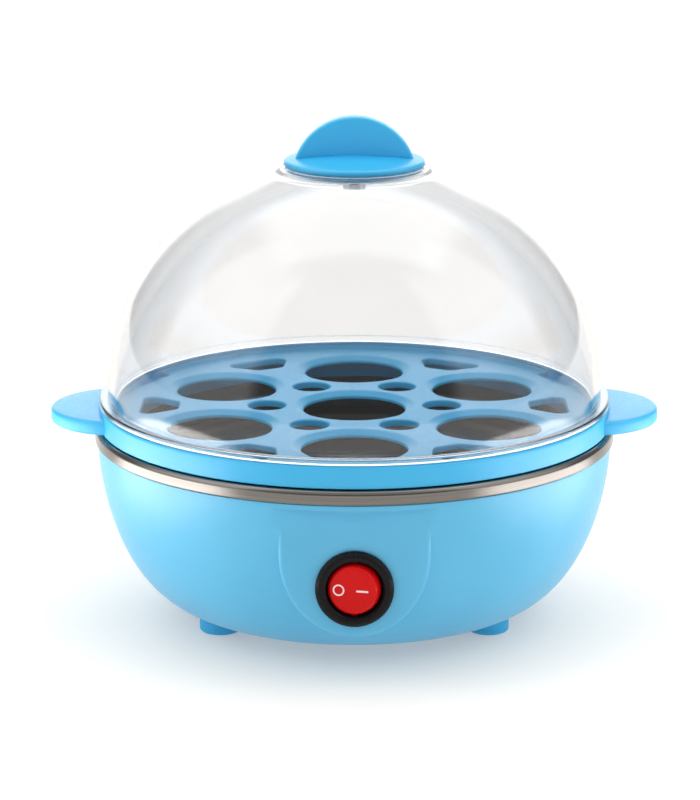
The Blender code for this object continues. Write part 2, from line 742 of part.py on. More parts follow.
def build_assembly_screws():
    head_base = SOCKET_TOP - GAP - SCREW_HEAD_HEIGHT
    tip = BRACKET_TOP + NUT_HEIGHT + 3 * GAP
    for name, angle in FOOT_ANGLES.items():
        x, y = place_at(FOOT_CIRCLE, angle)
        profile = screw_profile(
            SCREW_HEAD_RADIUS, SCREW_HEAD_HEIGHT, SCREW_RADIUS, head_base, tip
        )
        screw = turned(f"assembly_screw_{name}", profile, SCREW_STEPS, on_axis=True)
        finish(stand_at(screw, x, y), "zinc_steel")
        low = BRACKET_TOP + GAP
        outlines = [circle(NUT_RADIUS, 6), circle(SCREW_RADIUS + GAP, SCREW_STEPS)]
        nut = plate(f"assembly_nut_{name}", outlines, NUT_HEIGHT)
        finish(stand_at(nut, x, y, low + NUT_HEIGHT / 2), "zinc_steel")


def vent_slot(index):
    """A radial slot with round ends, as an outline in the cover's plane."""
    angle = math.radians(360 * (index + 0.5) / VENT_SLOTS)
    half = SLOT_WIDTH / 2
    outer = arc((SLOT_OUTER - half, 0), (half, half), -90, 90, 3)
    inner = arc((SLOT_INNER + half, 0), (half, half), 90, 270, 3)
    turn = Matrix.Rotation(angle, 2)
    return [tuple(turn @ Vector(point)) for point in outer + inner]


def build_bottom_cover():
    outlines = [circle(COVER_RADIUS, BODY_STEPS)]
    outlines += [vent_slot(i) for i in range(VENT_SLOTS)]
    cover = plate("bottom_cover", outlines, COVER_THICKNESS)
    cover.location.z = BOWL_BOTTOM + COVER_THICKNESS / 2
    holes = []
    head_base = BOWL_BOTTOM - GAP
    seat_top = head_base + COVER_HEAD_HEIGHT - 2 * GAP
    for name, angle in COVER_SCREW_ANGLES.items():
        x, y = place_at(COVER_SCREW_CIRCLE, angle)
        high, low = BOWL_BOTTOM + COVER_THICKNESS + THROUGH, BOWL_BOTTOM - THROUGH
        seat = [
            (0, high),
            (COVER_SCREW_RADIUS + GAP, high),
            (COVER_SCREW_RADIUS + GAP, seat_top + GAP),
            (COVER_HEAD_RADIUS + GAP, seat_top + GAP),
            (COVER_HEAD_RADIUS + GAP, low),
            (0, low),
        ]
        hole = turned(f"cover_hole_{name}", seat, SCREW_STEPS, CUTTERS, on_axis=True)
        holes.append(stand_at(hole, x, y))
        tip = BOWL_INSIDE + COVER_BOSS_HEIGHT - THROUGH
        height = COVER_HEAD_HEIGHT - 2 * GAP
        profile = screw_profile(COVER_HEAD_RADIUS, height, COVER_SCREW_RADIUS, head_base, tip)
        screw = turned(f"cover_screw_{name}", profile, SCREW_STEPS, on_axis=True)
        finish(stand_at(screw, x, y), "zinc_steel")
    cut(cover, holes, "screw_holes")
    finish(cover, "blue_plastic")


def build_cord_gland():
    """A bush through the rear wall, with its flange outside. Its own +Z is the rear."""
    base = gland_pad_end() + GAP
    outer_end = base + GLAND_FLANGE_HEIGHT
    inner_end = bowl_radius(GLAND_HEIGHT, BOWL_WALL) - GLAND_REACH
    profile = [
        (GLAND_BORE, outer_end),
        (GLAND_FLANGE - GLAND_EDGE, outer_end),
        (GLAND_FLANGE, outer_end - GLAND_EDGE),
        (GLAND_FLANGE, base),
        (GLAND_RADIUS, base),
        (GLAND_RADIUS, inner_end),
        (GLAND_BORE, inner_end),
    ]
    gland = turned("cord_gland", profile, SMALL_STEPS)
    gland.rotation_euler = (-FACE_FRONT, 0, 0)
    gland.location = (0, 0, GLAND_HEIGHT)
    finish(gland, "black_plastic")


# ---------------------------------------------------------------- heating pan and heater
def build_heating_pan():
    """One pressing: a flat basin, a flange and a rolled rim that stands on the bowl's edge."""
    top, bottom = BASIN_FLOOR, BASIN_FLOOR - PAN_SHEET
    corner = (BASIN_IN - PAN_CORNER, top + PAN_CORNER)
    corner_in = arc(corner, (PAN_CORNER, PAN_CORNER), -90, 0, 3)
    corner_out = arc(corner, (PAN_CORNER + PAN_SHEET,) * 2, 0, -90, 3)
    hip_centre = (BASIN_IN + PAN_HIP, RIM_TOP - PAN_HIP)
    hip = arc(hip_centre, (PAN_HIP, PAN_HIP), 180, 90, 2)
    hip_under = arc(hip_centre, (PAN_HIP - PAN_SHEET,) * 2, 90, 180, 2)
    roll_centre = (RIM_RADIUS - RIM_ROLL, RIM_TOP - RIM_ROLL)
    roll = arc(roll_centre, (RIM_ROLL, RIM_ROLL), 90, 0, 3)
    roll_under = arc(roll_centre, (RIM_ROLL - PAN_SHEET,) * 2, 0, 90, 2)
    profile = [
        (0, top),
        *corner_in,
        *hip,
        *roll,
        (RIM_RADIUS, RIM_BOTTOM + RIM_EDGE_HEIGHT),
        (RIM_RADIUS - RIM_EDGE, RIM_BOTTOM),
        (RIM_RADIUS - PAN_SHEET, RIM_BOTTOM),
        *roll_under,
        *hip_under,
        *corner_out,
        (0, bottom),
    ]
    finish(turned("heating_pan", profile, on_axis=True), "stainless_steel")


def build_pan_gasket():
    low = SPIGOT_TOP + GAP
    high = low + GASKET_HEIGHT
    outer = SPIGOT_RADIUS - GAP
    inner = outer - GASKET_WIDTH
    profile = [(inner, high), (outer, high), (outer, low), (inner, low)]
    finish(turned("pan_gasket", profile), "silicone")


def build_heater_plate():
    outlines = [circle(PLATE_RADIUS, BODY_STEPS)]
    for side in (-1, 1):
        centre = (side * HEATER_SCREW_CIRCLE, 0)
        outlines.append(circle(HEATER_SCREW_RADIUS + GAP, SCREW_STEPS, centre))
    heater = plate("heater_plate", outlines, PLATE_THICKNESS)
    heater.location.z = (PLATE_TOP + PLATE_BOTTOM) / 2
    finish(heater, "aluminium")


def build_heating_element():
    """An open ring of sheathed tube. Its two ends turn down at the rear, and each holds a pin."""
    start = 90 + math.degrees(ELEMENT_OPEN)
    ring = arc((0, 0), (ELEMENT_RADIUS,) * 2, start, start + 360 - 2 * (start - 90), 24)
    bend = ELEMENT_TUBE * 1.4
    points = []
    for sign, (x, y) in ((-1, ring[0]), (1, ring[-1])):
        along = Vector((-y, x, 0)).normalized() * sign
        end = Vector((x, y, ELEMENT_Z)) + along * bend
        drop = [end - UP * ELEMENT_DROP, end - UP * bend]
        knee = end - (along + UP) * bend * (1 - math.sqrt(0.5))
        points.append([*drop, knee])
    body = [Vector((x, y, ELEMENT_Z)) for x, y in ring]
    route = [*points[0], *body, *reversed(points[1])]
    finish(wire("heating_element", route, ELEMENT_TUBE), "stainless_steel")
    for name, place in (("left", route[0]), ("right", route[-1])):
        low = COLD_PIN_TOP - COLD_PIN_LENGTH
        pin = rod(f"element_pin_{name}", COLD_PIN_RADIUS, low, COLD_PIN_TOP)
        finish(stand_at(pin, place.x, place.y), "zinc_steel")
    return route[0], route[-1]


def bracket_outline():
    """A round hub with three arms with round ends, towards the posts."""
    points = []
    half = BRACKET_ARM / 2
    root = math.degrees(math.asin(half / BRACKET_HUB))
    angles = sorted(FOOT_ANGLES.values())
    for i, angle in enumerate(angles):
        turn = Matrix.Rotation(math.radians(angle - 90), 2)
        tip = arc((FOOT_CIRCLE, 0), (half, half), -90, 90, 4)
        points += [tuple(turn @ Vector(p)) for p in tip]
        following = angles[(i + 1) % len(angles)]
        sweep = (following - angle) % 360
        first = angle - 90 + root
        points += arc((0, 0), (BRACKET_HUB,) * 2, first, first + sweep - 2 * root, 4)
    return points


def build_support_bracket():
    outlines = [bracket_outline(), circle(THERMOSTAT_RADIUS + GAP, SMALL_STEPS)]
    for angle in FOOT_ANGLES.values():
        centre = place_at(FOOT_CIRCLE, angle)
        outlines.append(circle(SCREW_RADIUS + GAP, SCREW_STEPS, centre))
    for side in (-1, 1):
        centre = (side * HEATER_SCREW_CIRCLE, 0)
        outlines.append(circle(HEATER_SCREW_RADIUS + GAP, SCREW_STEPS, centre))
    outlines.append(circle(HEATER_SCREW_RADIUS + GAP, SCREW_STEPS, earth_point()))
    bracket = plate("support_bracket", outlines, BRACKET_SHEET)
    bracket.location.z = (BRACKET_TOP + BRACKET_BOTTOM) / 2
    finish(bracket, "zinc_steel")
    for name, side in (("left", -1), ("right", 1)):
        screw = heater_screw(f"heater_screw_{name}", BRACKET_BOTTOM - GAP, PLATE_TOP - GAP)
        stand_at(screw, side * HEATER_SCREW_CIRCLE, 0)


def heater_screw(name, head_top, tip):
    """A small screw, driven from below."""
    base = head_top - HEATER_HEAD_HEIGHT
    profile = screw_profile(
        HEATER_HEAD_RADIUS, HEATER_HEAD_HEIGHT, HEATER_SCREW_RADIUS, base, tip
    )
    screw = turned(name, profile, SCREW_STEPS, on_axis=True)
    return finish(screw, "zinc_steel")


def earth_point():
    """The earth screw's place, on the bracket's rear arm."""
    return place_at((BRACKET_HUB + FOOT_CIRCLE) / 2, 180)


def build_earth_tag():
    x, y = earth_point()
    offset = (EARTH_TAG_LENGTH - EARTH_TAG_WIDTH) / 2
    shape = rectangle(EARTH_TAG_WIDTH, EARTH_TAG_LENGTH, (0, -offset))
    hole = circle(HEATER_SCREW_RADIUS + GAP, SCREW_STEPS)
    tag = plate("earth_tag", [round_corners(shape, EARTH_TAG_CORNER), hole], TAB_SHEET)
    stand_at(tag, x, y, BRACKET_BOTTOM - GAP - TAB_SHEET / 2)
    finish(tag, "brass")
    head_top = BRACKET_BOTTOM - 2 * GAP - TAB_SHEET
    screw = heater_screw("earth_screw", head_top, BRACKET_TOP + THROUGH)
    stand_at(screw, x, y)
    return Vector((x, y - offset - EARTH_TAG_LENGTH / 2, head_top))


def build_thermostat():
    """A disc thermostat: its cap is against the heater plate, and its two tabs are below."""
    cap_radius = THERMOSTAT_RADIUS - CAP_INSET
    cap_low = THERMOSTAT_TOP - THERMOSTAT_CAP
    cap = rod("thermostat_cap", cap_radius, cap_low, THERMOSTAT_TOP, SMALL_STEPS)
    finish(cap, "aluminium")
    low, high = THERMOSTAT_BOTTOM, THERMOSTAT_BODY_TOP
    body = rod("thermostat_body", THERMOSTAT_RADIUS, low, high, SMALL_STEPS)
    finish(body, "black_plastic")
    tab_z = THERMOSTAT_BOTTOM - TAB_SHEET / 2 - GAP
    ends = {}
    for name, side in (("left", -1), ("right", 1)):
        outer = THERMOSTAT_RADIUS + SPADE_REACH
        centre = (side * (SPADE_START + outer) / 2, 0)
        shape = rectangle(outer - SPADE_START, SPADE_WIDTH, centre)
        outline = round_corners(shape, SPADE_CORNER, 2)
        tab = plate(f"thermostat_tab_{name}", [outline], TAB_SHEET)
        tab.location.z = tab_z
        finish(tab, "brass")
        ends[name] = Vector((side * outer, 0, tab_z))
    return ends


# ---------------------------------------------------------------- switch
def switch_tab(name, offset, front):
    """A flat tab through the back of the housing, with its front end inside."""
    back = HOUSING_BACK + TAB_REACH
    length = back - front
    outline = round_corners(rectangle(TAB_WIDTH, length), TAB_CORNER, 2)
    tab = plate(name, [outline], TAB_SHEET)
    tab.rotation_euler = (0, FACE_FRONT, 0)
    tab.location = (offset, front + length / 2, SWITCH_Z)
    finish(tab, "brass")
    return Vector((offset, back, SWITCH_Z))


def build_switch_housing():
    """A cup behind a round bezel. Its own +Z is the front, and 0 is the back of the bezel."""
    front, back = BEZEL_DEPTH, -BARREL_LENGTH
    floor = back + BARREL_FLOOR
    corner = (BEZEL_RADIUS - BEZEL_ROUND, front - BEZEL_ROUND)
    profile = [
        (0, floor),
        (BORE_RADIUS, floor),
        (BORE_RADIUS, front - BEZEL_CHAMFER),
        (BORE_RADIUS + BEZEL_CHAMFER, front),
        *arc(corner, (BEZEL_ROUND, BEZEL_ROUND), 90, 0, 2),
        (BEZEL_RADIUS, 0),
        (BARREL_RADIUS, 0),
        (BARREL_RADIUS, back),
        (0, back),
    ]
    housing = turned("switch_housing", profile, SWITCH_STEPS, on_axis=True)
    face_front(housing, 0, BEZEL_BACK, SWITCH_Z)
    reach = ROCKER_RADIUS + PIN_REACH + GAP
    sockets = rod("rocker_sockets", PIN_RADIUS + GAP, -reach, reach, SCREW_STEPS, CUTTERS)
    sockets.location = (0, PIVOT_Y, SWITCH_Z)
    slots = []
    for name, offset in (("common", 0.0), ("load", -LOAD_TAB_OFFSET)):
        through = 2 * (BARREL_FLOOR + THROUGH)
        size = (TAB_SHEET + 2 * GAP, through, TAB_WIDTH + 2 * GAP)
        slots.append(block(f"slot_{name}", size, (offset, HOUSING_BACK, SWITCH_Z), CUTTERS))
    cut(housing, [sockets, *slots], "openings")
    finish(housing, "black_plastic")


def build_rocker():
    """The red rocker turns about a vertical pivot, and is at rest with its left side pressed in."""
    pivot = bpy.data.objects.new("rocker_pivot", None)
    PARTS.objects.link(pivot)
    pivot.location = (0, PIVOT_Y, SWITCH_Z)
    pivot.rotation_euler = (0, 0, -ROCKER_TILT)
    low = math.degrees(math.asin(-ROCKER_BACK / ROCKER_RADIUS))
    high = math.degrees(math.asin((ROCKER_FACE - ROCKER_EDGE) / ROCKER_RADIUS))
    side = arc((0, 0), (ROCKER_RADIUS,) * 2, high, low, 5)
    corner = math.sqrt(ROCKER_RADIUS**2 - ROCKER_FACE**2) - ROCKER_EDGE
    edge = (side[0][0] - corner, ROCKER_EDGE)
    bore = STEM_RADIUS - STEM_WALL
    profile = [
        (0, ROCKER_FACE),
        *arc((corner, ROCKER_FACE - ROCKER_EDGE), edge, 90, 45, 1),
        *side,
        (STEM_RADIUS, -ROCKER_BACK),
        (STEM_RADIUS, -STEM_LENGTH),
        (bore, -STEM_LENGTH),
        (bore, -STEM_FLOOR),
        (0, -STEM_FLOOR),
    ]
    rocker = turned("rocker", profile, SWITCH_STEPS, on_axis=True)
    reach = ROCKER_RADIUS + PIN_REACH
    pins = rod("rocker_pins", PIN_RADIUS, -reach, reach, SCREW_STEPS, CUTTERS)
    low = -STEM_LENGTH - THROUGH
    hollow = rod("stem_hollow", bore, low, -STEM_FLOOR, SCREW_STEPS, CUTTERS)
    for obj in (rocker, hollow):
        obj.parent = pivot
        obj.rotation_euler = (FACE_FRONT, 0, 0)
    pins.parent = pivot
    join(rocker, [pins], "pins")
    cut(rocker, [hollow], "hollow")
    finish(rocker, "red_plastic")
    build_plunger(pivot)


def build_plunger(pivot):
    """Sprung plunger in the rocker's stem. It pushes the contact lever to one side or the other."""
    radius = STEM_RADIUS - STEM_WALL - GAP
    base = STEM_LENGTH - PLUNGER_GRIP
    tip = arc((0, -(PLUNGER_REACH - radius)), (radius, radius), 0, -90, 4)
    profile = [(0, -base), (radius, -base), *tip]
    plunger = turned("rocker_plunger", profile, SCREW_STEPS, on_axis=True)
    start = -(STEM_FLOOR + GAP + SPRING_WIRE)
    end = -(base - GAP - SPRING_WIRE)
    coil = radius - SPRING_WIRE
    count = SPRING_TURNS * SPRING_STEPS
    points = []
    for i in range(count + 1):
        angle = 2 * math.pi * i / SPRING_STEPS
        z = start + (end - start) * i / count
        points.append((coil * math.cos(angle), coil * math.sin(angle), z))
    spring = wire("rocker_spring", points, SPRING_WIRE, 1)
    for obj, kind in ((plunger, "white_nylon"), (spring, "stainless_steel")):
        obj.parent = pivot
        obj.rotation_euler = (FACE_FRONT, 0, 0)
        finish(obj, kind)


def build_contact_lever():
    """The see-saw contact. At rest its right end is pushed back."""
    outline = round_corners(rectangle(2 * LEVER_HALF, LEVER_WIDTH), LEVER_CORNER, 2)
    lever = plate("contact_lever", [outline], TAB_SHEET)
    lever.rotation_euler = (FACE_FRONT, 0, LEVER_TILT)
    lever.location = (0, LEVER_Y, SWITCH_Z)
    finish(lever, "brass")


def build_switch():
    build_switch_housing()
    build_rocker()
    build_contact_lever()
    behind = LEVER_Y + TAB_SHEET / 2
    common = switch_tab("switch_tab_common", 0.0, behind + GAP)
    swing = (LEVER_HALF - GAP) * math.sin(LEVER_TILT)
    load = switch_tab("switch_tab_load", -LOAD_TAB_OFFSET, behind + swing + GAP)
    return common, load


# ---------------------------------------------------------------- wiring
def build_terminal_block():
    """Three terminals in a row. Returns where their wires start, and the direction they run."""
    x, y = place_at(BLOCK_CIRCLE, BLOCK_ANGLE)
    z = BOWL_INSIDE + GAP + BLOCK_SIZE[2] / 2
    body = block("terminal_block", BLOCK_SIZE, (x, y, z))
    body.rotation_euler.z = math.radians(BLOCK_ANGLE)
    soften(body, BLOCK_EDGE, 1)
    finish(body, "white_nylon")
    inward = -Vector((x, y, 0)).normalized()
    side = Vector((-inward.y, inward.x, 0)) * TERMINAL_PITCH
    front = Vector((x, y, z)) + inward * (BLOCK_SIZE[1] / 2 + GAP)
    return [front - side, front, front + side], inward


def link(name, route, kind):
    finish(wire(name, smooth_route(route, WIRE_SPACING), WIRE_RADIUS), kind)


def build_wires(common, load, tabs, pins, earth):
    (start_neutral, start_earth, start_live), inward = build_terminal_block()
    pin_left, pin_right = (Vector((p.x, p.y, COLD_PIN_TOP - COLD_PIN_LENGTH)) for p in pins)
    back, right = Vector((0, 1, 0)), Vector((1, 0, 0))
    ahead, aside = back * WIRE_LEAD, right * WIRE_LEAD
    drop = UP * WIRE_DROP
    run = inward * WIRE_LEAD
    end = common + back * GAP
    middle = [Vector(point) + UP * (BOWL_INSIDE + LIVE_RISE) for point in LIVE_POINTS]
    link("wire_live", [start_live, start_live + run, *middle, end + ahead, end], "red_wire")
    end = load + back * GAP
    tab = tabs["left"] - right * GAP
    middle = Vector(SWITCH_POINT) + UP * tab.z
    link("wire_switch", [end, end + ahead, middle, tab - aside, tab], "red_wire")
    fuse = Vector(FUSE_POINT) + UP * tab.z
    half = back * FUSE_LENGTH / 2
    sleeve = wire("thermal_fuse", [fuse - half, fuse + half], FUSE_RADIUS, 3)
    finish(sleeve, "white_sleeve")
    tab = tabs["right"] + right * GAP
    near = fuse - half - back * GAP
    far = fuse + half + back * GAP
    link("wire_thermostat", [tab, tab + aside, near - ahead, near], "red_wire")
    end = pin_right - UP * GAP
    link("wire_heater", [far, far + ahead, end - drop, end], "red_wire")
    end = pin_left - UP * GAP
    link("wire_neutral", [start_neutral, start_neutral + run, end - drop, end], "blue_wire")
    end = earth - UP * GAP
    link("wire_earth", [start_earth, start_earth + run, end - drop, end], "earth_wire")


# ---------------------------------------------------------------- egg tray
def ear_outline(side):
    """The part of a round ear outside the band, with its root buried in the band."""
    root = BAND_RADIUS - BAND_WALL / 2
    centre = BAND_RADIUS + EAR_REACH - EAR_RADIUS
    meet = (root**2 - EAR_RADIUS**2 + centre**2) / (2 * centre)
    ear_angle = math.degrees(math.acos((meet - centre) / EAR_RADIUS))
    root_angle = math.degrees(math.acos(meet / root))
    outer = arc((centre, 0), (EAR_RADIUS,) * 2, -ear_angle, ear_angle, 14)
    inner = arc((0, 0), (root, root), root_angle, -root_angle, 6)[1:-1]
    return [(side * x, y) for x, y in outer + inner]


def tray_ears():
    ears = []
    for name, side in (("left", -1), ("right", 1)):
        ear = plate(f"ear_{name}", [ear_outline(side)], EAR_THICKNESS, CUTTERS)
        ear.location.z = BAND_BOTTOM + EAR_RAISE + EAR_THICKNESS / 2
        soften(ear, EAR_EDGE, 1, 60)
        ears.append(ear)
    return ears


def seat_cutter(name, x, y):
    """A round hole whose upper edge slopes, so that it holds the end of an egg."""
    top, low = DECK_TOP + THROUGH, DECK_BOTTOM - THROUGH
    wide = SEAT_RADIUS + SEAT_BEVEL * (1 + THROUGH / SEAT_BEVEL_DEPTH)
    profile = [(0, top), (wide, top), (SEAT_RADIUS, DECK_TOP - SEAT_BEVEL_DEPTH)]
    profile += [(SEAT_RADIUS, low), (0, low)]
    return stand_at(turned(name, profile, SMALL_STEPS, CUTTERS, on_axis=True), x, y)


def vent_cutter(index):
    """An outer steam opening: a rounded wedge between two seats."""
    inner = SEAT_PITCH + VENT_INNER
    outer = SKIRT_IN - VENT_RIM
    wide, narrow = VENT_OUTER_WIDTH / 2, VENT_INNER_WIDTH / 2
    corners = [(-narrow, -inner), (-wide, -outer), (wide, -outer), (narrow, -inner)]
    outline = round_corners(corners, VENT_CORNER, 2)
    opening = plate(f"vent_{index}", [outline], 2 * (DECK_THICKNESS + THROUGH), CUTTERS)
    opening.rotation_euler.z = math.radians(30 + 60 * index)
    opening.location.z = DECK_BOTTOM
    return opening


def pocket_cutter(name, side):
    """A shallow pocket at the foot of the band's inner wall."""
    size = (POCKET_WIDTH, POCKET_REACH, 2 * POCKET_DEPTH)
    pocket = block(name, size, (0, 0, 0), CUTTERS)
    angle = side * POCKET_ANGLE
    radius = BAND_IN * math.cos(POCKET_WIDTH / 2 / BAND_IN) - POCKET_REACH / 2
    pocket.location = (radius * math.sin(angle), -radius * math.cos(angle), DECK_TOP)
    pocket.rotation_euler.z = angle
    return pocket


def build_egg_tray():
    """The deck, its outer band with two ears, and the skirt that centres it in the pan."""
    groove_out = BAND_RADIUS - FLANGE_WALL
    groove_in = SKIRT_OUT + FLANGE_WALL
    groove_top = DECK_TOP - POCKET_DEPTH - GROOVE_ROOF
    skirt_low = BAND_BOTTOM - SKIRT_DEPTH
    corner = (BAND_RADIUS - BAND_EDGE, BAND_TOP - BAND_EDGE)
    profile = [
        (0, DECK_TOP),
        (BAND_IN - FILLET_WIDTH, DECK_TOP),
        (BAND_IN, DECK_TOP + FILLET_HEIGHT),
        (BAND_IN, BAND_TOP),
        *arc(corner, (BAND_EDGE, BAND_EDGE), 90, 0, 2),
        (BAND_RADIUS, BAND_BOTTOM),
        (groove_out, BAND_BOTTOM),
        (groove_out, groove_top),
        (groove_in, groove_top),
        (groove_in, BAND_BOTTOM),
        (SKIRT_OUT, BAND_BOTTOM),
        (SKIRT_OUT, skirt_low),
        (SKIRT_IN, skirt_low),
        (SKIRT_IN, DECK_BOTTOM),
        (0, DECK_BOTTOM),
    ]
    tray = turned("egg_tray", profile, on_axis=True)
    join(tray, tray_ears(), "ears")
    cutters = [seat_cutter("seat_centre", 0, 0)]
    centroid = SEAT_PITCH / math.sqrt(3)
    for i in range(OUTER_SEATS):
        cutters.append(seat_cutter(f"seat_{i}", *place_at(SEAT_PITCH, 60 * i)))
        cutters.append(vent_cutter(i))
        low, high = DECK_BOTTOM - THROUGH, DECK_TOP + THROUGH
        hole = rod(f"steam_hole_{i}", STEAM_HOLE_RADIUS, low, high, SMALL_STEPS, CUTTERS)
        cutters.append(stand_at(hole, *place_at(centroid, 30 + 60 * i)))
    cutters.append(pocket_cutter("pocket_left", -1))
    cutters.append(pocket_cutter("pocket_right", 1))
    cut(tray, cutters, "openings")
    finish(tray, "blue_plastic")


# ---------------------------------------------------------------- lid
def build_lid_dome():
    """Part of a sphere with a flattened seat for the knob, a lip, and a skirt inside the band."""
    inner = DOME_RADIUS - DOME_WALL
    ceiling = DOME_TOP - DOME_WALL
    hole = KNOB_SCREW_RADIUS + GAP
    skirt_out = BAND_IN - GAP
    skirt_in = skirt_out - LID_SKIRT_WALL
    skirt_low = DECK_TOP + FILLET_HEIGHT + GAP
    start = math.degrees(math.acos(SHOULDER_RADIUS / DOME_RADIUS))
    foot = math.degrees(math.asin((LIP_TOP + LIP_EDGE - DOME_CENTRE) / DOME_RADIUS))
    outside = arc((0, DOME_CENTRE), (DOME_RADIUS,) * 2, start, foot, 7)
    shoulder_in = SHOULDER_RADIUS - DOME_WALL / 2
    end = math.degrees(math.acos(shoulder_in / inner))
    inside = arc((0, DOME_CENTRE), (inner, inner), 0, end, 6)
    profile = [
        (hole, DOME_TOP - SEAT_SINK),
        (KNOB_RADIUS + GAP, DOME_TOP - SEAT_SINK),
        (KNOB_RADIUS + GAP, DOME_TOP),
        (SEAT_EDGE, DOME_TOP),
        *outside,
        (DOME_RADIUS + LIP_EDGE, LIP_TOP),
        (LIP_RADIUS - LIP_EDGE, LIP_TOP),
        (LIP_RADIUS, LIP_TOP - LIP_EDGE),
        (LIP_RADIUS, LIP_BOTTOM),
        (skirt_out, LIP_BOTTOM),
        (skirt_out, skirt_low),
        (skirt_in, skirt_low),
        *inside,
        (SEAT_EDGE, ceiling),
        (hole, ceiling),
    ]
    finish(turned("lid_dome", profile), "clear_plastic")


def knob_grip():
    """A half-round fin whose root is sunk in the knob's disc."""
    base = KNOB_TOP - GAP
    radius = (GRIP_HALF_WIDTH**2 + GRIP_HEIGHT**2) / (2 * GRIP_HEIGHT)
    centre = base + GRIP_HEIGHT - radius
    root = KNOB_BOTTOM + KNOB_THICKNESS / 4
    half = math.degrees(math.acos((root - centre) / radius))
    outline = arc((0, centre), (radius, radius), 90 - half, 90 + half, 16)
    grip = plate("grip", [outline], GRIP_THICKNESS, CUTTERS)
    soften(grip, GRIP_EDGE, 2, 50)
    return face_front(grip, 0, 0, 0)


def build_lid_knob():
    edge = KNOB_THICKNESS / 2
    reach = KNOB_RADIUS - edge
    profile = [(0, KNOB_TOP + KNOB_CROWN)]
    for share in (0.35, 0.65, 0.85):
        profile.append((share * reach, KNOB_TOP + KNOB_CROWN * (1 - share**2)))
    profile += arc((reach, KNOB_BOTTOM + edge), (edge, edge), 75, -60, 3)
    profile += [(reach - edge, KNOB_BOTTOM), (0, KNOB_BOTTOM)]
    knob = turned("lid_knob", profile, KNOB_STEPS, on_axis=True)
    join(knob, [knob_grip()], "grip")
    low, tip = KNOB_BOTTOM - THROUGH, KNOB_BOTTOM + KNOB_SCREW_REACH
    pilot = rod("knob_pilot", KNOB_SCREW_RADIUS + GAP, low, tip, SCREW_STEPS, CUTTERS)
    cut(knob, [pilot], "pilot")
    finish(knob, "blue_plastic")


def build_knob_fixing():
    ceiling = DOME_TOP - DOME_WALL
    hole = circle(KNOB_SCREW_RADIUS + GAP, SCREW_STEPS)
    ring = plate("knob_washer", [circle(WASHER_RADIUS), hole], WASHER_HEIGHT)
    ring.location.z = ceiling - GAP - WASHER_HEIGHT / 2
    finish(ring, "silicone")
    base = ceiling - 2 * GAP - WASHER_HEIGHT - KNOB_HEAD_HEIGHT
    tip = KNOB_BOTTOM + KNOB_SCREW_REACH - THROUGH
    profile = screw_profile(KNOB_HEAD_RADIUS, KNOB_HEAD_HEIGHT, KNOB_SCREW_RADIUS, base, tip)
    finish(turned("knob_screw", profile, SCREW_STEPS, on_axis=True), "zinc_steel")


# ---------------------------------------------------------------- assembly
def build():
    build_base_shell()
    build_feet()
    build_assembly_screws()
    build_bottom_cover()
    build_cord_gland()
    build_heating_pan()
    build_pan_gasket()
    build_heater_plate()
    pins = build_heating_element()
    build_support_bracket()
    earth = build_earth_tag()
    tabs = build_thermostat()
    common, load = build_switch()
    build_wires(common, load, tabs, pins, earth)
    build_egg_tray()
    build_lid_dome()
    build_lid_knob()
    build_knob_fixing()
    for obj in PARTS.objects:
        if obj.type == "MESH":
            shade(obj)


build()
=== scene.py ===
"""Looks of the egg cooker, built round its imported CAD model. Metres, +Z up, the front is -Y."""

import json
import math

import bmesh
import bpy
from mathutils import Matrix, Vector
from mathutils.geometry import tessellate_polygon


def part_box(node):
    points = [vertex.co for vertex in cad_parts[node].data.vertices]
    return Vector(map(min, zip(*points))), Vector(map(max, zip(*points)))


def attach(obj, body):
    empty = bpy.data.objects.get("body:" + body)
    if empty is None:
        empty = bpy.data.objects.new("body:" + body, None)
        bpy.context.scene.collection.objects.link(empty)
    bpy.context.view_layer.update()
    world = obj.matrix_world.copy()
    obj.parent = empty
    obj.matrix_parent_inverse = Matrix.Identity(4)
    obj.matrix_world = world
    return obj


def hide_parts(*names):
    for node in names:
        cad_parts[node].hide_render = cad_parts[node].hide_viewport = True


MM = 0.001
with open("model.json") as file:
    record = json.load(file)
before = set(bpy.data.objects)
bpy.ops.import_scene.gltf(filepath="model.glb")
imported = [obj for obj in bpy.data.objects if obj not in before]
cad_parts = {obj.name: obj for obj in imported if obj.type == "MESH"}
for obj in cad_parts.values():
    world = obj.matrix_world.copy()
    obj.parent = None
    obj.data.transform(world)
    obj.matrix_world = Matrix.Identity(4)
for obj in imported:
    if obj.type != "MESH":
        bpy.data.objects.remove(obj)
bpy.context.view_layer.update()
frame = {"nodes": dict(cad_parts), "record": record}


# ---------------------------------------------------------------- levels and radii, from the CAD
GAP = 0.3 * MM
SHELL_LOW, SHELL_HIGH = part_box("base_shell")
PAN_LOW, PAN_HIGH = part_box("heating_pan")
TRAY_LOW, TRAY_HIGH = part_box("egg_tray")
DOME_LOW, DOME_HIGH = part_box("lid_dome")
KNOB_LOW, KNOB_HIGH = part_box("lid_knob")
GLAND_LOW, GLAND_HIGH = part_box("cord_gland")

BOWL_RADIUS = SHELL_HIGH.x
BOWL_BOTTOM = SHELL_LOW.z
SPIGOT_TOP = SHELL_HIGH.z
RIM_RADIUS = PAN_HIGH.x
RIM_TOP = PAN_HIGH.z
EAR_TIP = TRAY_HIGH.x
BAND_RADIUS = TRAY_HIGH.y
BAND_TOP = TRAY_HIGH.z
SKIRT_LOW = TRAY_LOW.z
LIP_RADIUS = DOME_HIGH.x
DOME_TOP = DOME_HIGH.z
KNOB_TIP = KNOB_HIGH.z

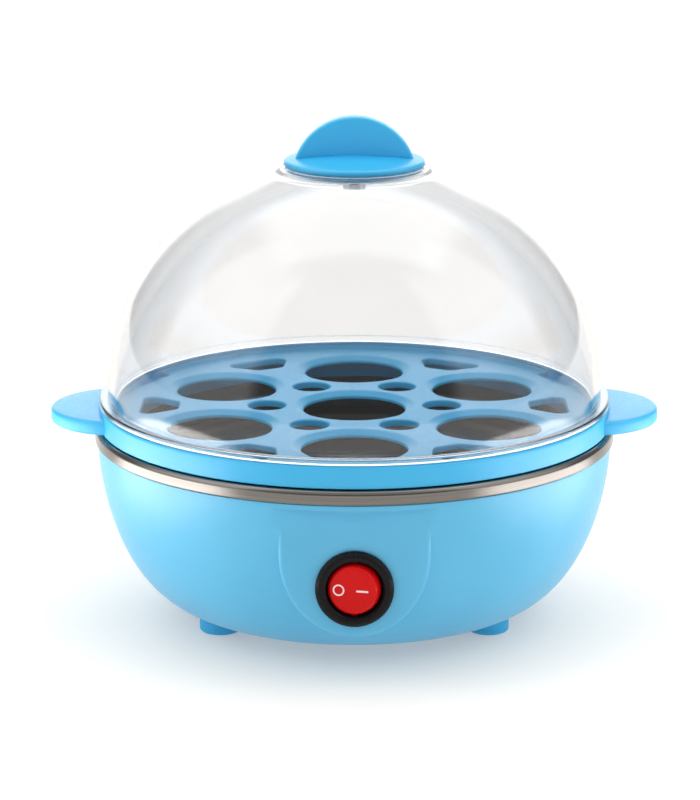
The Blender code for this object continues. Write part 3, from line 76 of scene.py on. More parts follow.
# Bowl, with its feet, cover and cord gland
SPIGOT_DROP = 10.5 * MM  # from the bowl's edge down to the underside of the pan's basin
BOWL_EDGE = PAN_LOW.z + SPIGOT_DROP
BOWL_FLAT = 50.0 * MM
BOWL_BELLY = 4.5 * MM
BOWL_WALL = 2.4 * MM
FACE_LIP = 1.6 * MM
FACE_Y = -(BOWL_RADIUS - 3.6 * MM)
FACE_HALF_WIDTH = 22.3 * MM
FACE_BELOW = 15.3 * MM
FACE_CURVE = 25.0 * MM
FACE_EDGE = 1.3 * MM
SWITCH_Z = BOWL_EDGE - 26.1 * MM
BARREL_RADIUS = 9.7 * MM
GLAND_HEIGHT = 24.0 * MM
GLAND_RADIUS = 4.5 * MM
GLAND_BORE = 2.9 * MM
GLAND_FLANGE = 6.6 * MM
GLAND_FLANGE_HEIGHT = 1.8 * MM
GLAND_PAD_RADIUS = 8.5 * MM
FOOT_CIRCLE = 48.0 * MM
FOOT_ANGLES = {"front_left": -60, "front_right": 60, "rear": 180}
FOOT_STEM = 4.6 * MM
FOOT_RADIUS = 6.5 * MM
POST_RADIUS = 7.0 * MM
SCREW_HOLE = 2.3 * MM
COVER_ANGLES = (0, -120, 120)
COVER_CIRCLE = 34.3 * MM
COVER_BOSS = 3.4 * MM
COVER_BOSS_TOP = 15.1 * MM
COVER_PILOT = 1.5 * MM
COVER_RECESS = 38.3 * MM
COVER_RECESS_DEPTH = 1.9 * MM
COVER_OPENING = 31.0 * MM
# Far ends of the cutters, all of them in the open
SCREW_HOLE_END = 40.0 * MM
COVER_OPENING_END = 10.0 * MM
COVER_PILOT_END = 20.0 * MM
GLAND_HOLE_END = 80.0 * MM
BELLY_Z = BOWL_EDGE + BOWL_BELLY
BELLY_HEIGHT = BELLY_Z - BOWL_BOTTOM
BELLY_WIDTH = (BOWL_RADIUS - BOWL_FLAT) / math.sqrt(1 - (BOWL_BELLY / BELLY_HEIGHT) ** 2)

# Pan and tray
PAN_SHEET = 0.8 * MM
RIM_BOTTOM = BOWL_EDGE + GAP
BASIN_IN = RIM_RADIUS - 8.3 * MM
BASIN_FLOOR = RIM_TOP - 14.3 * MM
SKIRT_IN = BASIN_IN - 2.0 * MM
SKIRT_OUT = BASIN_IN - 0.5 * MM
BAND_BOTTOM = RIM_TOP + GAP
BAND_IN = BAND_RADIUS - 3.0 * MM
DECK_TOP = BAND_TOP - 2.1 * MM
DECK_BOTTOM = DECK_TOP - 2.0 * MM
SEAT_PITCH = 47.5 * MM
SEAT_RADIUS = 16.0 * MM
STEAM_RADIUS = 6.0 * MM
EAR_RADIUS = 22.5 * MM
EAR_THICKNESS = 4.4 * MM
EAR_RAISE = 0.4 * MM
VENT_INNER = 55.0 * MM
VENT_OUTER = SKIRT_IN - 4.0 * MM
POCKET_HALF = 8.5 * MM
POCKET_REACH = 2.25 * MM
POCKET_DEPTH = 1.4 * MM
POCKET_ANGLE = math.radians(117)

# Lid
LIP_BOTTOM = BAND_TOP + GAP
LIP_TOP = LIP_BOTTOM + 1.7 * MM
DOME_RADIUS = LIP_RADIUS - 2.5 * MM
DOME_CENTRE = LIP_TOP - 0.6 * MM
DOME_WALL = 2.0 * MM
KNOB_RADIUS = 21.8 * MM
SEAT_EDGE = KNOB_RADIUS + 0.9 * MM
SHOULDER_RADIUS = SEAT_EDGE + 6.0 * MM
KNOB_BOTTOM = KNOB_LOW.z
KNOB_THICKNESS = 2.2 * MM
KNOB_CROWN = 1.5 * MM
KNOB_SCREW_HOLE = 1.7 * MM
KNOB_SCREW_REACH = 11.0 * MM
GRIP_HALF_WIDTH = 18.3 * MM
GRIP_HALF_THICKNESS = 2.8 * MM

# Switch
BEZEL_BACK = FACE_Y - GAP
BEZEL_RADIUS = 11.6 * MM
BEZEL_DEPTH = 2.0 * MM
BORE_RADIUS = 8.35 * MM
BARREL_LENGTH = 17.0 * MM
PIVOT_Y = BEZEL_BACK - BEZEL_DEPTH + 3.5 * MM
ROCKER_RADIUS = 7.95 * MM
ROCKER_FACE = 3.8 * MM
ROCKER_BACK = 2.6 * MM
ROCKER_TILT = math.radians(-12)
PIN_RADIUS = 1.2 * MM
PIN_END = 8.65 * MM
STEM_RADIUS = 2.4 * MM
STEM_BORE = 1.7 * MM
STEM_LENGTH = 6.0 * MM
LOAD_TAB_OFFSET = 5.2 * MM

# Studio light. Each patch has a radiance and two limits: angle, low, high and soft edge, in degrees
FRONT_LIGHT = 0.30
STUDIO = (
    (1.80, ("rear", 160, 181, 12), ("elevation", -90, 24, 12)),
    (0.10, ("rear", 90, 181, 20), ("elevation", 40, 91, 22)),
    (0.90, ("azimuth", -102, -54, 10), ("elevation", 4, 56, 14)),
    (0.75, ("azimuth", 54, 102, 10), ("elevation", 4, 56, 14)),
    (1.30, ("lateral", -22, 26, 12), ("tilt", 86, 122, 8)),
    (0.60, ("lateral", -60, 60, 20), ("tilt", 40, 122, 20)),
)

# Floor, and a spot light over it on each side, in metres and watts
SPOT_HEIGHT = 1.2
SPOT_PLACE = (0.31, -0.06)
LEFT_SPOT = 430.0
RIGHT_SPOT = 330.0
FLOOR_RADIUS = 6.0
FLOOR_DEPTH = 0.02

# Steps round a turned piece
FINE = 160
MEDIUM = 96
SMALL = 48
INSIDE_STEPS = 120
TO_FRONT = Matrix.Rotation(math.radians(90), 4, "X")


# ---------------------------------------------------------------- outlines and profiles
def arc(centre, radii, start, end, count):
    """Points on an ellipse's arc, both ends included. Angles are in degrees, from +x towards +y."""
    points = []
    for i in range(count + 1):
        angle = math.radians(start + (end - start) * i / count)
        x = centre[0] + radii[0] * math.cos(angle)
        points.append((x, centre[1] + radii[1] * math.sin(angle)))
    return points


def circle(radius, count=SMALL, centre=(0, 0)):
    return arc(centre, (radius, radius), 0, 360 * (1 - 1 / count), count - 1)


def rounded(corners, step=12):
    """Points with an arc at each corner (x, y, radius). A radius of 0 leaves a corner as it is."""
    points = []
    for i, (x, y, radius) in enumerate(corners):
        if radius == 0:
            points.append((x, y))
            continue
        corner = Vector((x, y))
        before = Vector(corners[i - 1][:2]) - corner
        after = Vector(corners[(i + 1) % len(corners)][:2]) - corner
        half = before.angle(after) / 2
        reach = min(radius / math.tan(half), 0.49 * before.length, 0.49 * after.length)
        radius = reach * math.tan(half)
        spread = (before.normalized() + after.normalized()).normalized()
        centre = corner + spread * radius / math.sin(half)
        first = corner + before.normalized() * reach - centre
        last = corner + after.normalized() * reach - centre
        count = max(2, round(math.degrees(math.pi - 2 * half) / step))
        for k in range(count + 1):
            spoke = first.lerp(last, k / count).normalized() * radius
            points.append(tuple(centre + spoke))
    return points


def sharp(points):
    """Points as corners that stay as they are, for rounded()."""
    return [(x, y, 0) for x, y in points]


def inset_outline(outline, inset):
    """A counter-clockwise outline moved inwards."""
    moved = []
    for i, point in enumerate(outline):
        here = Vector(point)
        before = (here - Vector(outline[i - 1])).normalized()
        after = (Vector(outline[(i + 1) % len(outline)]) - here).normalized()
        along = (before + after).normalized()
        stretch = 1 / max(0.3, along.dot(before))
        moved.append(tuple(here + Vector((-along.y, along.x)) * inset * stretch))
    return moved


def place_at(radius, degrees):
    """A point at that distance from the axis. The angle is from the front towards +X."""
    angle = math.radians(degrees)
    return radius * math.sin(angle), -radius * math.cos(angle)


# ---------------------------------------------------------------- meshes
def new_object(name, points, faces):
    mesh = bpy.data.meshes.new(name)
    mesh.from_pydata(points, [], faces)
    obj = bpy.data.objects.new(name, mesh)
    bpy.context.scene.collection.objects.link(obj)
    tidy(obj)
    return obj


def tidy(obj):
    shape = bmesh.new()
    shape.from_mesh(obj.data)
    bmesh.ops.remove_doubles(shape, verts=shape.verts, dist=0.001 * MM)
    bmesh.ops.dissolve_degenerate(shape, edges=shape.edges, dist=0.001 * MM)
    bmesh.ops.recalc_face_normals(shape, faces=shape.faces)
    shape.to_mesh(obj.data)
    shape.free()


def lathe(name, profile, steps=FINE):
    """A profile of (radius, z) turned about Z: a closed loop unless its ends are on the axis."""
    points, rings = [], []
    for radius, z in profile:
        if radius < 0.001 * MM:
            rings.append([len(points)] * steps)
            points.append((0, 0, z))
            continue
        rings.append(list(range(len(points), len(points) + steps)))
        for i in range(steps):
            angle = 2 * math.pi * i / steps
            points.append((radius * math.cos(angle), radius * math.sin(angle), z))
    faces = []
    joined = profile[0][0] > 0.001 * MM
    pairs = list(zip(rings, rings[1:])) + ([(rings[-1], rings[0])] if joined else [])
    for upper, lower in pairs:
        for i in range(steps):
            k = (i + 1) % steps
            face = [upper[i], lower[i], lower[k], upper[k]]
            faces.append(list(dict.fromkeys(face)))
    return new_object(name, points, [face for face in faces if len(face) > 2])


def stack(name, layers):
    """A solid through layers (z, outline), from the lowest up. Their outlines have equal counts."""
    points, count = [], len(layers[0][1])
    for z, outline in layers:
        points += [(x, y, z) for x, y in outline]
    cap = tessellate_polygon([[Vector((x, y, 0)) for x, y in layers[0][1]]])
    faces = [list(triangle) for triangle in cap]
    for level in range(len(layers) - 1):
        low, high = level * count, (level + 1) * count
        for i in range(count):
            k = (i + 1) % count
            faces.append([low + i, low + k, high + k, high + i])
    top = (len(layers) - 1) * count
    faces += [[top + i for i in triangle] for triangle in cap]
    return new_object(name, points, faces)


def slab(name, outline, levels):
    """A solid with that outline at each level (z, inset), from the lowest up."""
    return stack(name, [(z, inset_outline(outline, inset)) for z, inset in levels])


def round_levels(low, high, low_round, high_round, count=5):
    """Levels of a slab whose lower and upper edges are rounded."""
    levels = []
    for i in range(count + 1 if low_round else 0):
        angle = math.pi / 2 * i / count
        inset = low_round * (1 - math.sin(angle))
        levels.append((low + low_round * (1 - math.cos(angle)), inset))
    if not low_round:
        levels.append((low, 0))
    if not high_round:
        levels.append((high, 0))
    for i in range(count + 1 if high_round else 0):
        angle = math.pi / 2 * i / count
        inset = high_round * (1 - math.cos(angle))
        levels.append((high - high_round * (1 - math.sin(angle)), inset))
    return levels


def move(obj, x=0.0, y=0.0, z=0.0, turn=0.0):
    """Moves the mesh itself, after turning it about Z."""
    obj.data.transform(Matrix.Translation((x, y, z)) @ Matrix.Rotation(turn, 4, "Z"))
    return obj


def to_front(obj, x=0.0, y=0.0, z=0.0):
    """Turns the mesh's own +Z to the front, and moves it there."""
    obj.data.transform(Matrix.Translation((x, y, z)) @ TO_FRONT)
    return obj


def carve(obj, operation, tools):
    """Adds the tools to the object, or cuts them out of it, and removes them."""
    group = bpy.data.collections.new("tools")
    for tool in tools:
        group.objects.link(tool)
    modifier = obj.modifiers.new("carve", "BOOLEAN")
    modifier.operation = operation
    modifier.solver = "EXACT"
    modifier.operand_type = "COLLECTION"
    modifier.collection = group
    bpy.context.view_layer.update()
    graph = bpy.context.evaluated_depsgraph_get()
    mesh = bpy.data.meshes.new_from_object(obj.evaluated_get(graph))
    obj.modifiers.clear()
    obj.data = mesh
    for tool in tools:
        bpy.data.objects.remove(tool)
    bpy.data.collections.remove(group)
    tidy(obj)
    return obj


# ---------------------------------------------------------------- materials
def node(tree, kind, **values):
    made = tree.nodes.new(kind)
    for key, value in values.items():
        if key in made.inputs:
            made.inputs[key].default_value = value
        else:
            setattr(made, key, value)
    return made


def noise(tree, vector, scale, detail=3.0, roughness=0.5):
    made = node(tree, "ShaderNodeTexNoise", Scale=scale, Detail=detail, Roughness=roughness)
    tree.links.new(vector, made.inputs["Vector"])
    return made.outputs["Fac"]


def ramp(tree, value, low, high, start=0.35, end=0.65):
    """A value of the noise, from its usual range to the range low to high."""
    made = node(tree, "ShaderNodeMapRange")
    made.inputs["From Min"].default_value = start
    made.inputs["From Max"].default_value = end
    made.inputs["To Min"].default_value = low
    made.inputs["To Max"].default_value = high
    tree.links.new(value, made.inputs["Value"])
    return made.outputs["Result"]


def blend_colors(tree, value, first, second):
    made = node(tree, "ShaderNodeMix", data_type="RGBA")
    colors = [socket for socket in made.inputs if socket.type == "RGBA"]
    colors[0].default_value = (*first, 1)
    colors[1].default_value = (*second, 1)
    factor = [socket for socket in made.inputs if socket.type == "VALUE"][0]
    tree.links.new(value, factor)
    return [socket for socket in made.outputs if socket.type == "RGBA"][0]


def start_material(name, sockets):
    """A material with a Principled shader, with its constant values set on its own sockets."""
    material = bpy.data.materials.new(name)
    material.use_nodes = True
    tree = material.node_tree
    shader = tree.nodes["Principled BSDF"]
    for key, value in sockets.items():
        shader.inputs[key].default_value = value
    place = node(tree, "ShaderNodeTexCoord").outputs["Object"]
    return material, tree, shader, place


def add_relief(tree, shader, height, depth, strength=0.5):
    bump = node(tree, "ShaderNodeBump", Strength=strength, Distance=depth)
    tree.links.new(height, bump.inputs["Height"])
    tree.links.new(bump.outputs["Normal"], shader.inputs["Normal"])


def moulded(name, colors, roughness, grain=900.0, depth=0.02 * MM, **sockets):
    """Moulded plastic or rubber: slow drift in its colour, and fine grain in gloss and relief."""
    material, tree, shader, place = start_material(name, sockets)
    drift = ramp(tree, noise(tree, place, 28.0, 2.0), 0, 1)
    tree.links.new(blend_colors(tree, drift, *colors), shader.inputs["Base Color"])
    fine = noise(tree, place, grain, 4.0)
    tree.links.new(ramp(tree, fine, *roughness), shader.inputs["Roughness"])
    add_relief(tree, shader, fine, depth)
    return material


def turned_metal(name, colors, roughness, lines=2600.0, depth=0.01 * MM, **sockets):
    """Metal with fine brushed lines round the object's axis."""
    material, tree, shader, place = start_material(name, {"Metallic": 1.0, **sockets})
    split = node(tree, "ShaderNodeSeparateXYZ")
    tree.links.new(place, split.inputs["Vector"])
    flat = node(tree, "ShaderNodeVectorMath", operation="MULTIPLY")
    tree.links.new(place, flat.inputs[0])
    flat.inputs[1].default_value = (1, 1, 0)
    radius = node(tree, "ShaderNodeVectorMath", operation="LENGTH")
    tree.links.new(flat.outputs["Vector"], radius.inputs[0])
    across = node(tree, "ShaderNodeMath", operation="ADD")
    tree.links.new(radius.outputs["Value"], across.inputs[0])
    tree.links.new(split.outputs["Z"], across.inputs[1])
    scaled = node(tree, "ShaderNodeMath", operation="MULTIPLY")
    tree.links.new(across.outputs["Value"], scaled.inputs[0])
    scaled.inputs[1].default_value = lines
    slow = node(tree, "ShaderNodeVectorMath", operation="SCALE")
    tree.links.new(flat.outputs["Vector"], slow.inputs[0])
    slow.inputs["Scale"].default_value = 14.0
    parts = node(tree, "ShaderNodeSeparateXYZ")
    tree.links.new(slow.outputs["Vector"], parts.inputs["Vector"])
    place_on = node(tree, "ShaderNodeCombineXYZ")
    tree.links.new(parts.outputs["X"], place_on.inputs["X"])
    tree.links.new(parts.outputs["Y"], place_on.inputs["Y"])
    tree.links.new(scaled.outputs["Value"], place_on.inputs["Z"])
    streaks = noise(tree, place_on.outputs["Vector"], 1.0, 4.0, 0.65)
    tone = ramp(tree, streaks, 0, 1, 0.3, 0.7)
    tree.links.new(blend_colors(tree, tone, *colors), shader.inputs["Base Color"])
    tree.links.new(ramp(tree, streaks, *roughness), shader.inputs["Roughness"])
    add_relief(tree, shader, streaks, depth)
    return material


def clear(name, tint, haze):
    """Clear moulded plastic with a faint haze that varies over it."""
    sockets = {"Transmission Weight": 1.0, "IOR": 1.49}
    material, tree, shader, place = start_material(name, sockets)
    drift = ramp(tree, noise(tree, place, 20.0, 2.0), 0, 1)
    tree.links.new(blend_colors(tree, drift, *tint), shader.inputs["Base Color"])
    fine = noise(tree, place, 60.0, 3.0)
    tree.links.new(ramp(tree, fine, *haze), shader.inputs["Roughness"])
    return material


def make_materials():
    blue = ((0.030, 0.410, 0.740), (0.038, 0.440, 0.780))
    pale = ((0.085, 0.430, 0.690), (0.098, 0.460, 0.730))
    made = {
        "blue_plastic": moulded("blue_plastic", blue, (0.30, 0.40), depth=0.012 * MM),
        "blue_satin": moulded("blue_satin", pale, (0.28, 0.38), 1400.0),
        "clear_plastic": clear(
            "clear_plastic", ((0.860, 0.872, 0.890), (0.872, 0.883, 0.900)), (0.015, 0.035)
        ),
        "stainless_steel": turned_metal(
            "stainless_steel", ((0.140, 0.131, 0.124), (0.215, 0.202, 0.191)), (0.14, 0.26)
        ),
        "zinc_steel": moulded(
            "zinc_steel", ((0.60, 0.61, 0.63), (0.72, 0.73, 0.74)), (0.28, 0.45), Metallic=1.0
        ),
        "aluminium": moulded(
            "aluminium", ((0.70, 0.71, 0.72), (0.80, 0.80, 0.81)), (0.40, 0.55), Metallic=1.0
        ),
        "brass": moulded(
            "brass", ((0.66, 0.47, 0.18), (0.76, 0.58, 0.26)), (0.24, 0.40), Metallic=1.0
        ),
        "silicone": moulded(
            "silicone", ((0.74, 0.74, 0.72), (0.84, 0.84, 0.82)), (0.50, 0.65)
        ),
        "black_plastic": moulded(
            "black_plastic", ((0.004, 0.004, 0.005), (0.009, 0.009, 0.011)), (0.22, 0.32),
            **{"Specular IOR Level": 0.12},
        ),
        "red_plastic": moulded(
            "red_plastic", ((0.54, 0.002, 0.003), (0.62, 0.004, 0.005)), (0.14, 0.22), 500.0,
            0.006 * MM, **{"Specular IOR Level": 0.14},
        ),
        "white_nylon": moulded(
            "white_nylon", ((0.76, 0.76, 0.72), (0.86, 0.86, 0.83)), (0.42, 0.58)
        ),
        "blue_rubber": moulded("blue_rubber", blue, (0.55, 0.68), 1500.0),
        "red_wire": moulded("red_wire", ((0.45, 0.03, 0.03), (0.60, 0.06, 0.05)), (0.4, 0.55)),
        "blue_wire": moulded(
            "blue_wire", ((0.04, 0.10, 0.42), (0.07, 0.15, 0.56)), (0.4, 0.55)
        ),
        "earth_wire": moulded(
            "earth_wire", ((0.12, 0.42, 0.08), (0.62, 0.60, 0.06)), (0.4, 0.55)
        ),
        "white_sleeve": moulded(
            "white_sleeve", ((0.70, 0.69, 0.66), (0.84, 0.83, 0.80)), (0.6, 0.75), 2200.0
        ),
        "print": moulded("print", ((0.80, 0.66, 0.68), (0.88, 0.76, 0.77)), (0.35, 0.5)),
        "floor": moulded(
            "floor", ((0.67, 0.65, 0.625), (0.68, 0.66, 0.635)), (0.75, 0.85), 60.0,
            **{"Emission Color": (1.0, 0.95, 0.90, 1), "Emission Strength": 0.32},
        ),
    }
    return made


MATERIALS = make_materials()


def piece(obj, body, slot, material=None, replaced=(), angle=32):
    """Finishes a piece: shading, material, the body it rides on and the CAD nodes it stands for."""
    obj.data.materials.clear()
    obj.data.materials.append(MATERIALS[material or slot])
    obj.data.shade_smooth()
    obj.data.set_sharp_from_angle(angle=math.radians(angle))
    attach(obj, body)
    if replaced:
        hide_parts(*replaced)
    return obj


def coat_cad_nodes():
    """Gives each CAD node its own slot's material. The nodes that are replaced aren't shown."""
    slots = {entry["node"]: entry["material_slot"] for entry in frame["record"]["subparts"]}
    for name, obj in frame["nodes"].items():
        obj.data.materials.clear()
        obj.data.materials.append(MATERIALS[slots[name]])


# ---------------------------------------------------------------- base shell
def bowl_curve(inset, top, count):
    width = BELLY_WIDTH - inset
    height = BELLY_HEIGHT - inset
    start = -math.degrees(math.asin((BELLY_Z - top) / height))
    return arc((BOWL_FLAT, BELLY_Z), (width, height), start, -90, count)


def face_outline(inset, top):
    """The switch face's outline in X and Z, counter-clockwise, with a half-elliptic lower end."""
    half = FACE_HALF_WIDTH - inset
    centre = SWITCH_Z - FACE_BELOW + FACE_CURVE
    lower = arc((0, centre), (half, FACE_CURVE - inset), 180, 360, 72)
    corner = 2.5 * MM
    return rounded([*sharp(lower), (half, top, corner), (-half, top, corner)])


def make_base_shell():
    spigot = RIM_RADIUS - PAN_SHEET - GAP
    edge = 0.4 * MM
    profile = rounded(
        [
            (0, SPIGOT_TOP, 0),
            (spigot, SPIGOT_TOP, edge),
            (spigot, BOWL_EDGE, 0),
            (BOWL_RADIUS, BOWL_EDGE, edge),
            *sharp(bowl_curve(0, BOWL_EDGE - 0.8 * MM, 44)),
            (0, BOWL_BOTTOM, 0),
        ]
    )
    shell = lathe("base_shell_body", profile)
    front, back = -FACE_Y, BOWL_FLAT - 2 * MM
    levels = round_levels(back, front, 0, FACE_EDGE, 6)
    boss = to_front(slab("boss", face_outline(0, BOWL_EDGE - FACE_LIP), levels))
    pad_end = GLAND_HIGH.y - GLAND_FLANGE_HEIGHT - GAP
    levels = round_levels(BOWL_FLAT, pad_end, 0, 0.8 * MM)
    pad = to_front(slab("pad", circle(GLAND_PAD_RADIUS), levels), 0, 0, GLAND_HEIGHT)
    pad.data.transform(Matrix.Scale(-1, 4, (0, 1, 0)))
    tidy(pad)
    carve(shell, "UNION", [boss, pad])
    top = BOWL_EDGE - FACE_LIP
    width = 2 * FACE_HALF_WIDTH
    outline = rounded([(-width, 0, 0), (width, 0, 0), (width, top, 0), (-width, top, 0)])
    plane = to_front(slab("plane", outline, [(front, 0), (front + 10 * MM, 0)]))
    carve(shell, "DIFFERENCE", [plane])
    carve(shell, "DIFFERENCE", shell_inside())
    carve(shell, "UNION", shell_posts())
    carve(shell, "DIFFERENCE", shell_holes())
    return piece(shell, "base", "blue_plastic", "blue_satin", ["base_shell"])


def shell_inside():
    floor = BOWL_BOTTOM + BOWL_WALL
    curve = bowl_curve(BOWL_WALL, BOWL_EDGE, 30)
    profile = [(0, RIM_TOP), (curve[0][0], RIM_TOP), *curve, (0, floor)]
    inside = lathe("inside", profile, INSIDE_STEPS)
    behind = -(FACE_Y + BOWL_WALL)
    side, top = 60 * MM, 90 * MM
    outline = [(-side, -side), (side, -side), (side, top), (-side, top)]
    stop = to_front(slab("stop", outline, [(behind, 0), (behind + 20 * MM, 0)]))
    carve(inside, "DIFFERENCE", [stop])
    outline = face_outline(BOWL_WALL, BOWL_EDGE - FACE_LIP - BOWL_WALL)
    pocket = to_front(slab("pocket", outline, [(BOWL_FLAT + 6 * MM, 0), (behind, 0)]))
    return [inside, pocket]


def upright(name, radius, low, high, x=0.0, y=0.0, count=SMALL):
    return move(slab(name, circle(radius, count), [(low, 0), (high, 0)]), x, y)


def shell_posts():
    post_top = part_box("support_bracket")[0].z - GAP
    posts = []
    for angle in FOOT_ANGLES.values():
        x, y = place_at(FOOT_CIRCLE, angle)
        posts.append(upright("post", POST_RADIUS, BOWL_BOTTOM + MM, post_top, x, y))
    for angle in COVER_ANGLES:
        x, y = place_at(COVER_CIRCLE, angle)
        posts.append(upright("boss", COVER_BOSS, BOWL_BOTTOM + 2 * MM, COVER_BOSS_TOP, x, y))
    return posts


def shell_holes():
    holes = []
    socket_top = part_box("assembly_screw_rear")[0].z + 2.5 * MM
    for angle in FOOT_ANGLES.values():
        x, y = place_at(FOOT_CIRCLE, angle)
        holes.append(upright("socket", FOOT_STEM + GAP, 0, socket_top, x, y))
        holes.append(upright("screw_hole", SCREW_HOLE, socket_top - MM, SCREW_HOLE_END, x, y))
    recess = BOWL_BOTTOM + COVER_RECESS_DEPTH
    low, high = recess - 0.5 * MM, COVER_OPENING_END
    holes.append(upright("recess", COVER_RECESS, 0, recess, count=INSIDE_STEPS))
    holes.append(upright("opening", COVER_OPENING, low, high, count=INSIDE_STEPS))
    for angle in COVER_ANGLES:
        x, y = place_at(COVER_CIRCLE, angle)
        holes.append(upright("pilot", COVER_PILOT, BOWL_BOTTOM, COVER_PILOT_END, x, y))
    deep = [(-4 * MM, 0), (4 * MM, 0)]
    outline = circle(BARREL_RADIUS + GAP, MEDIUM)
    holes.append(to_front(slab("switch_hole", outline, deep), 0, FACE_Y, SWITCH_Z))
    deep = [(-GLAND_HOLE_END, 0), (-BOWL_FLAT, 0)]
    outline = circle(GLAND_RADIUS + GAP)
    holes.append(to_front(slab("gland_hole", outline, deep), 0, 0, GLAND_HEIGHT))
    return holes


# ---------------------------------------------------------------- feet and inlet
def make_feet():
    for name, angle in FOOT_ANGLES.items():
        low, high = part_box(f"foot_{name}")
        flange = BOWL_BOTTOM - GAP
        profile = rounded(
            [
                (0, high.z, 0),
                (FOOT_STEM, high.z, 0.4 * MM),
                (FOOT_STEM, flange, 0),
                (FOOT_RADIUS, flange, 0.3 * MM),
                (FOOT_RADIUS, low.z, 1.0 * MM),
                (3.0 * MM, low.z, 0.4 * MM),
                (2.6 * MM, low.z + 0.6 * MM, 0.3 * MM),
                (0, low.z + 0.6 * MM, 0),
            ]
        )
        foot = lathe(f"foot_{name}_pad", profile, SMALL)
        move(foot, *place_at(FOOT_CIRCLE, angle))
        piece(foot, "base", "blue_rubber", None, [f"foot_{name}"])


def make_cord_gland():
    inner, outer = GLAND_LOW.y, GLAND_HIGH.y
    flange = outer - GLAND_FLANGE_HEIGHT
    profile = rounded(
        [
            (GLAND_BORE, outer, 0.5 * MM),
            (GLAND_FLANGE, outer, 0.8 * MM),
            (GLAND_FLANGE, flange, 0.2 * MM),
            (GLAND_RADIUS, flange, 0),
            (GLAND_RADIUS, inner, 0.3 * MM),
            (GLAND_BORE, inner, 0.3 * MM),
        ]
    )
    gland = lathe("cord_inlet", profile, MEDIUM)
    gland.data.transform(Matrix.Rotation(math.radians(-90), 4, "X"))
    move(gland, 0, 0, GLAND_HEIGHT)
    piece(gland, "base", "black_plastic", None, ["cord_gland"])


# ---------------------------------------------------------------- heating pan
def make_pan():
    """One pressing, with a shallow ring in its floor over the heating element's plate."""
    top, bottom = BASIN_FLOOR, BASIN_FLOOR - PAN_SHEET
    corner, bend, roll = 6.5 * MM, 1.6 * MM, 1.5 * MM
    inner = RIM_RADIUS - PAN_SHEET
    ring, slope, sunk = (38 * MM, 42 * MM), 0.6 * MM, top - 0.35 * MM
    profile = rounded(
        [
            (0, top, 0),
            (ring[0], top, 0),
            (ring[0] + slope, sunk, 0.5 * MM),
            (ring[1] - slope, sunk, 0.5 * MM),
            (ring[1], top, 0),
            (BASIN_IN, top, corner),
            (BASIN_IN, RIM_TOP, bend),
            (RIM_RADIUS, RIM_TOP, roll),
            (RIM_RADIUS, RIM_BOTTOM, 0.35 * MM),
            (inner, RIM_BOTTOM, 0.2 * MM),
            (inner, RIM_TOP - PAN_SHEET, roll - PAN_SHEET),
            (BASIN_IN + PAN_SHEET, RIM_TOP - PAN_SHEET, bend - PAN_SHEET),
            (BASIN_IN + PAN_SHEET, bottom, corner + PAN_SHEET),
            (0, bottom, 0),
        ],
        9,
    )
    pan = lathe("steam_pan", profile)
    piece(pan, "base", "stainless_steel", None, ["heating_pan"])


# ---------------------------------------------------------------- switch
def make_switch():
    depth, back = BEZEL_DEPTH, -BARREL_LENGTH
    floor = back + 2 * MM
    profile = rounded(
        [
            (0, floor, 0),
            (BORE_RADIUS, floor, 0),
            (BORE_RADIUS, depth - 0.9 * MM, 0.3 * MM),
            (BORE_RADIUS + 0.6 * MM, depth - 0.2 * MM, 0.5 * MM),
            (BEZEL_RADIUS - 1.4 * MM, depth, 1.2 * MM),
            (BEZEL_RADIUS, depth - 1.0 * MM, 0.9 * MM),
            (BEZEL_RADIUS, 0, 0),
            (BARREL_RADIUS, 0, 0),
            (BARREL_RADIUS, back, 0.4 * MM),
            (0, back, 0),
        ]
    )
    housing = to_front(lathe("switch_body", profile, MEDIUM), 0, BEZEL_BACK, SWITCH_Z)
    sockets = upright("sockets", PIN_RADIUS + GAP, -PIN_END - GAP, PIN_END + GAP)
    move(sockets, 0, PIVOT_Y, SWITCH_Z)
    slots = []
    for offset in (0.0, -LOAD_TAB_OFFSET):
        width, height = 0.7 * MM, 3.45 * MM
        outline = [(-width, -height), (width, -height), (width, height), (-width, height)]
        slot = slab("slot", outline, [(-3 * MM, 0), (3 * MM, 0)])
        slots.append(to_front(slot, offset, BEZEL_BACK + BARREL_LENGTH, SWITCH_Z))
    carve(housing, "DIFFERENCE", [sockets, *slots])
    piece(housing, "base", "black_plastic", None, ["switch_housing"])


def tilted(obj):
    """Places a mesh whose own +Z is the rocker's front at the rocker's pivot, at its rest tilt."""
    obj.data.transform(TO_FRONT)
    return move(obj, 0, PIVOT_Y, SWITCH_Z, ROCKER_TILT)


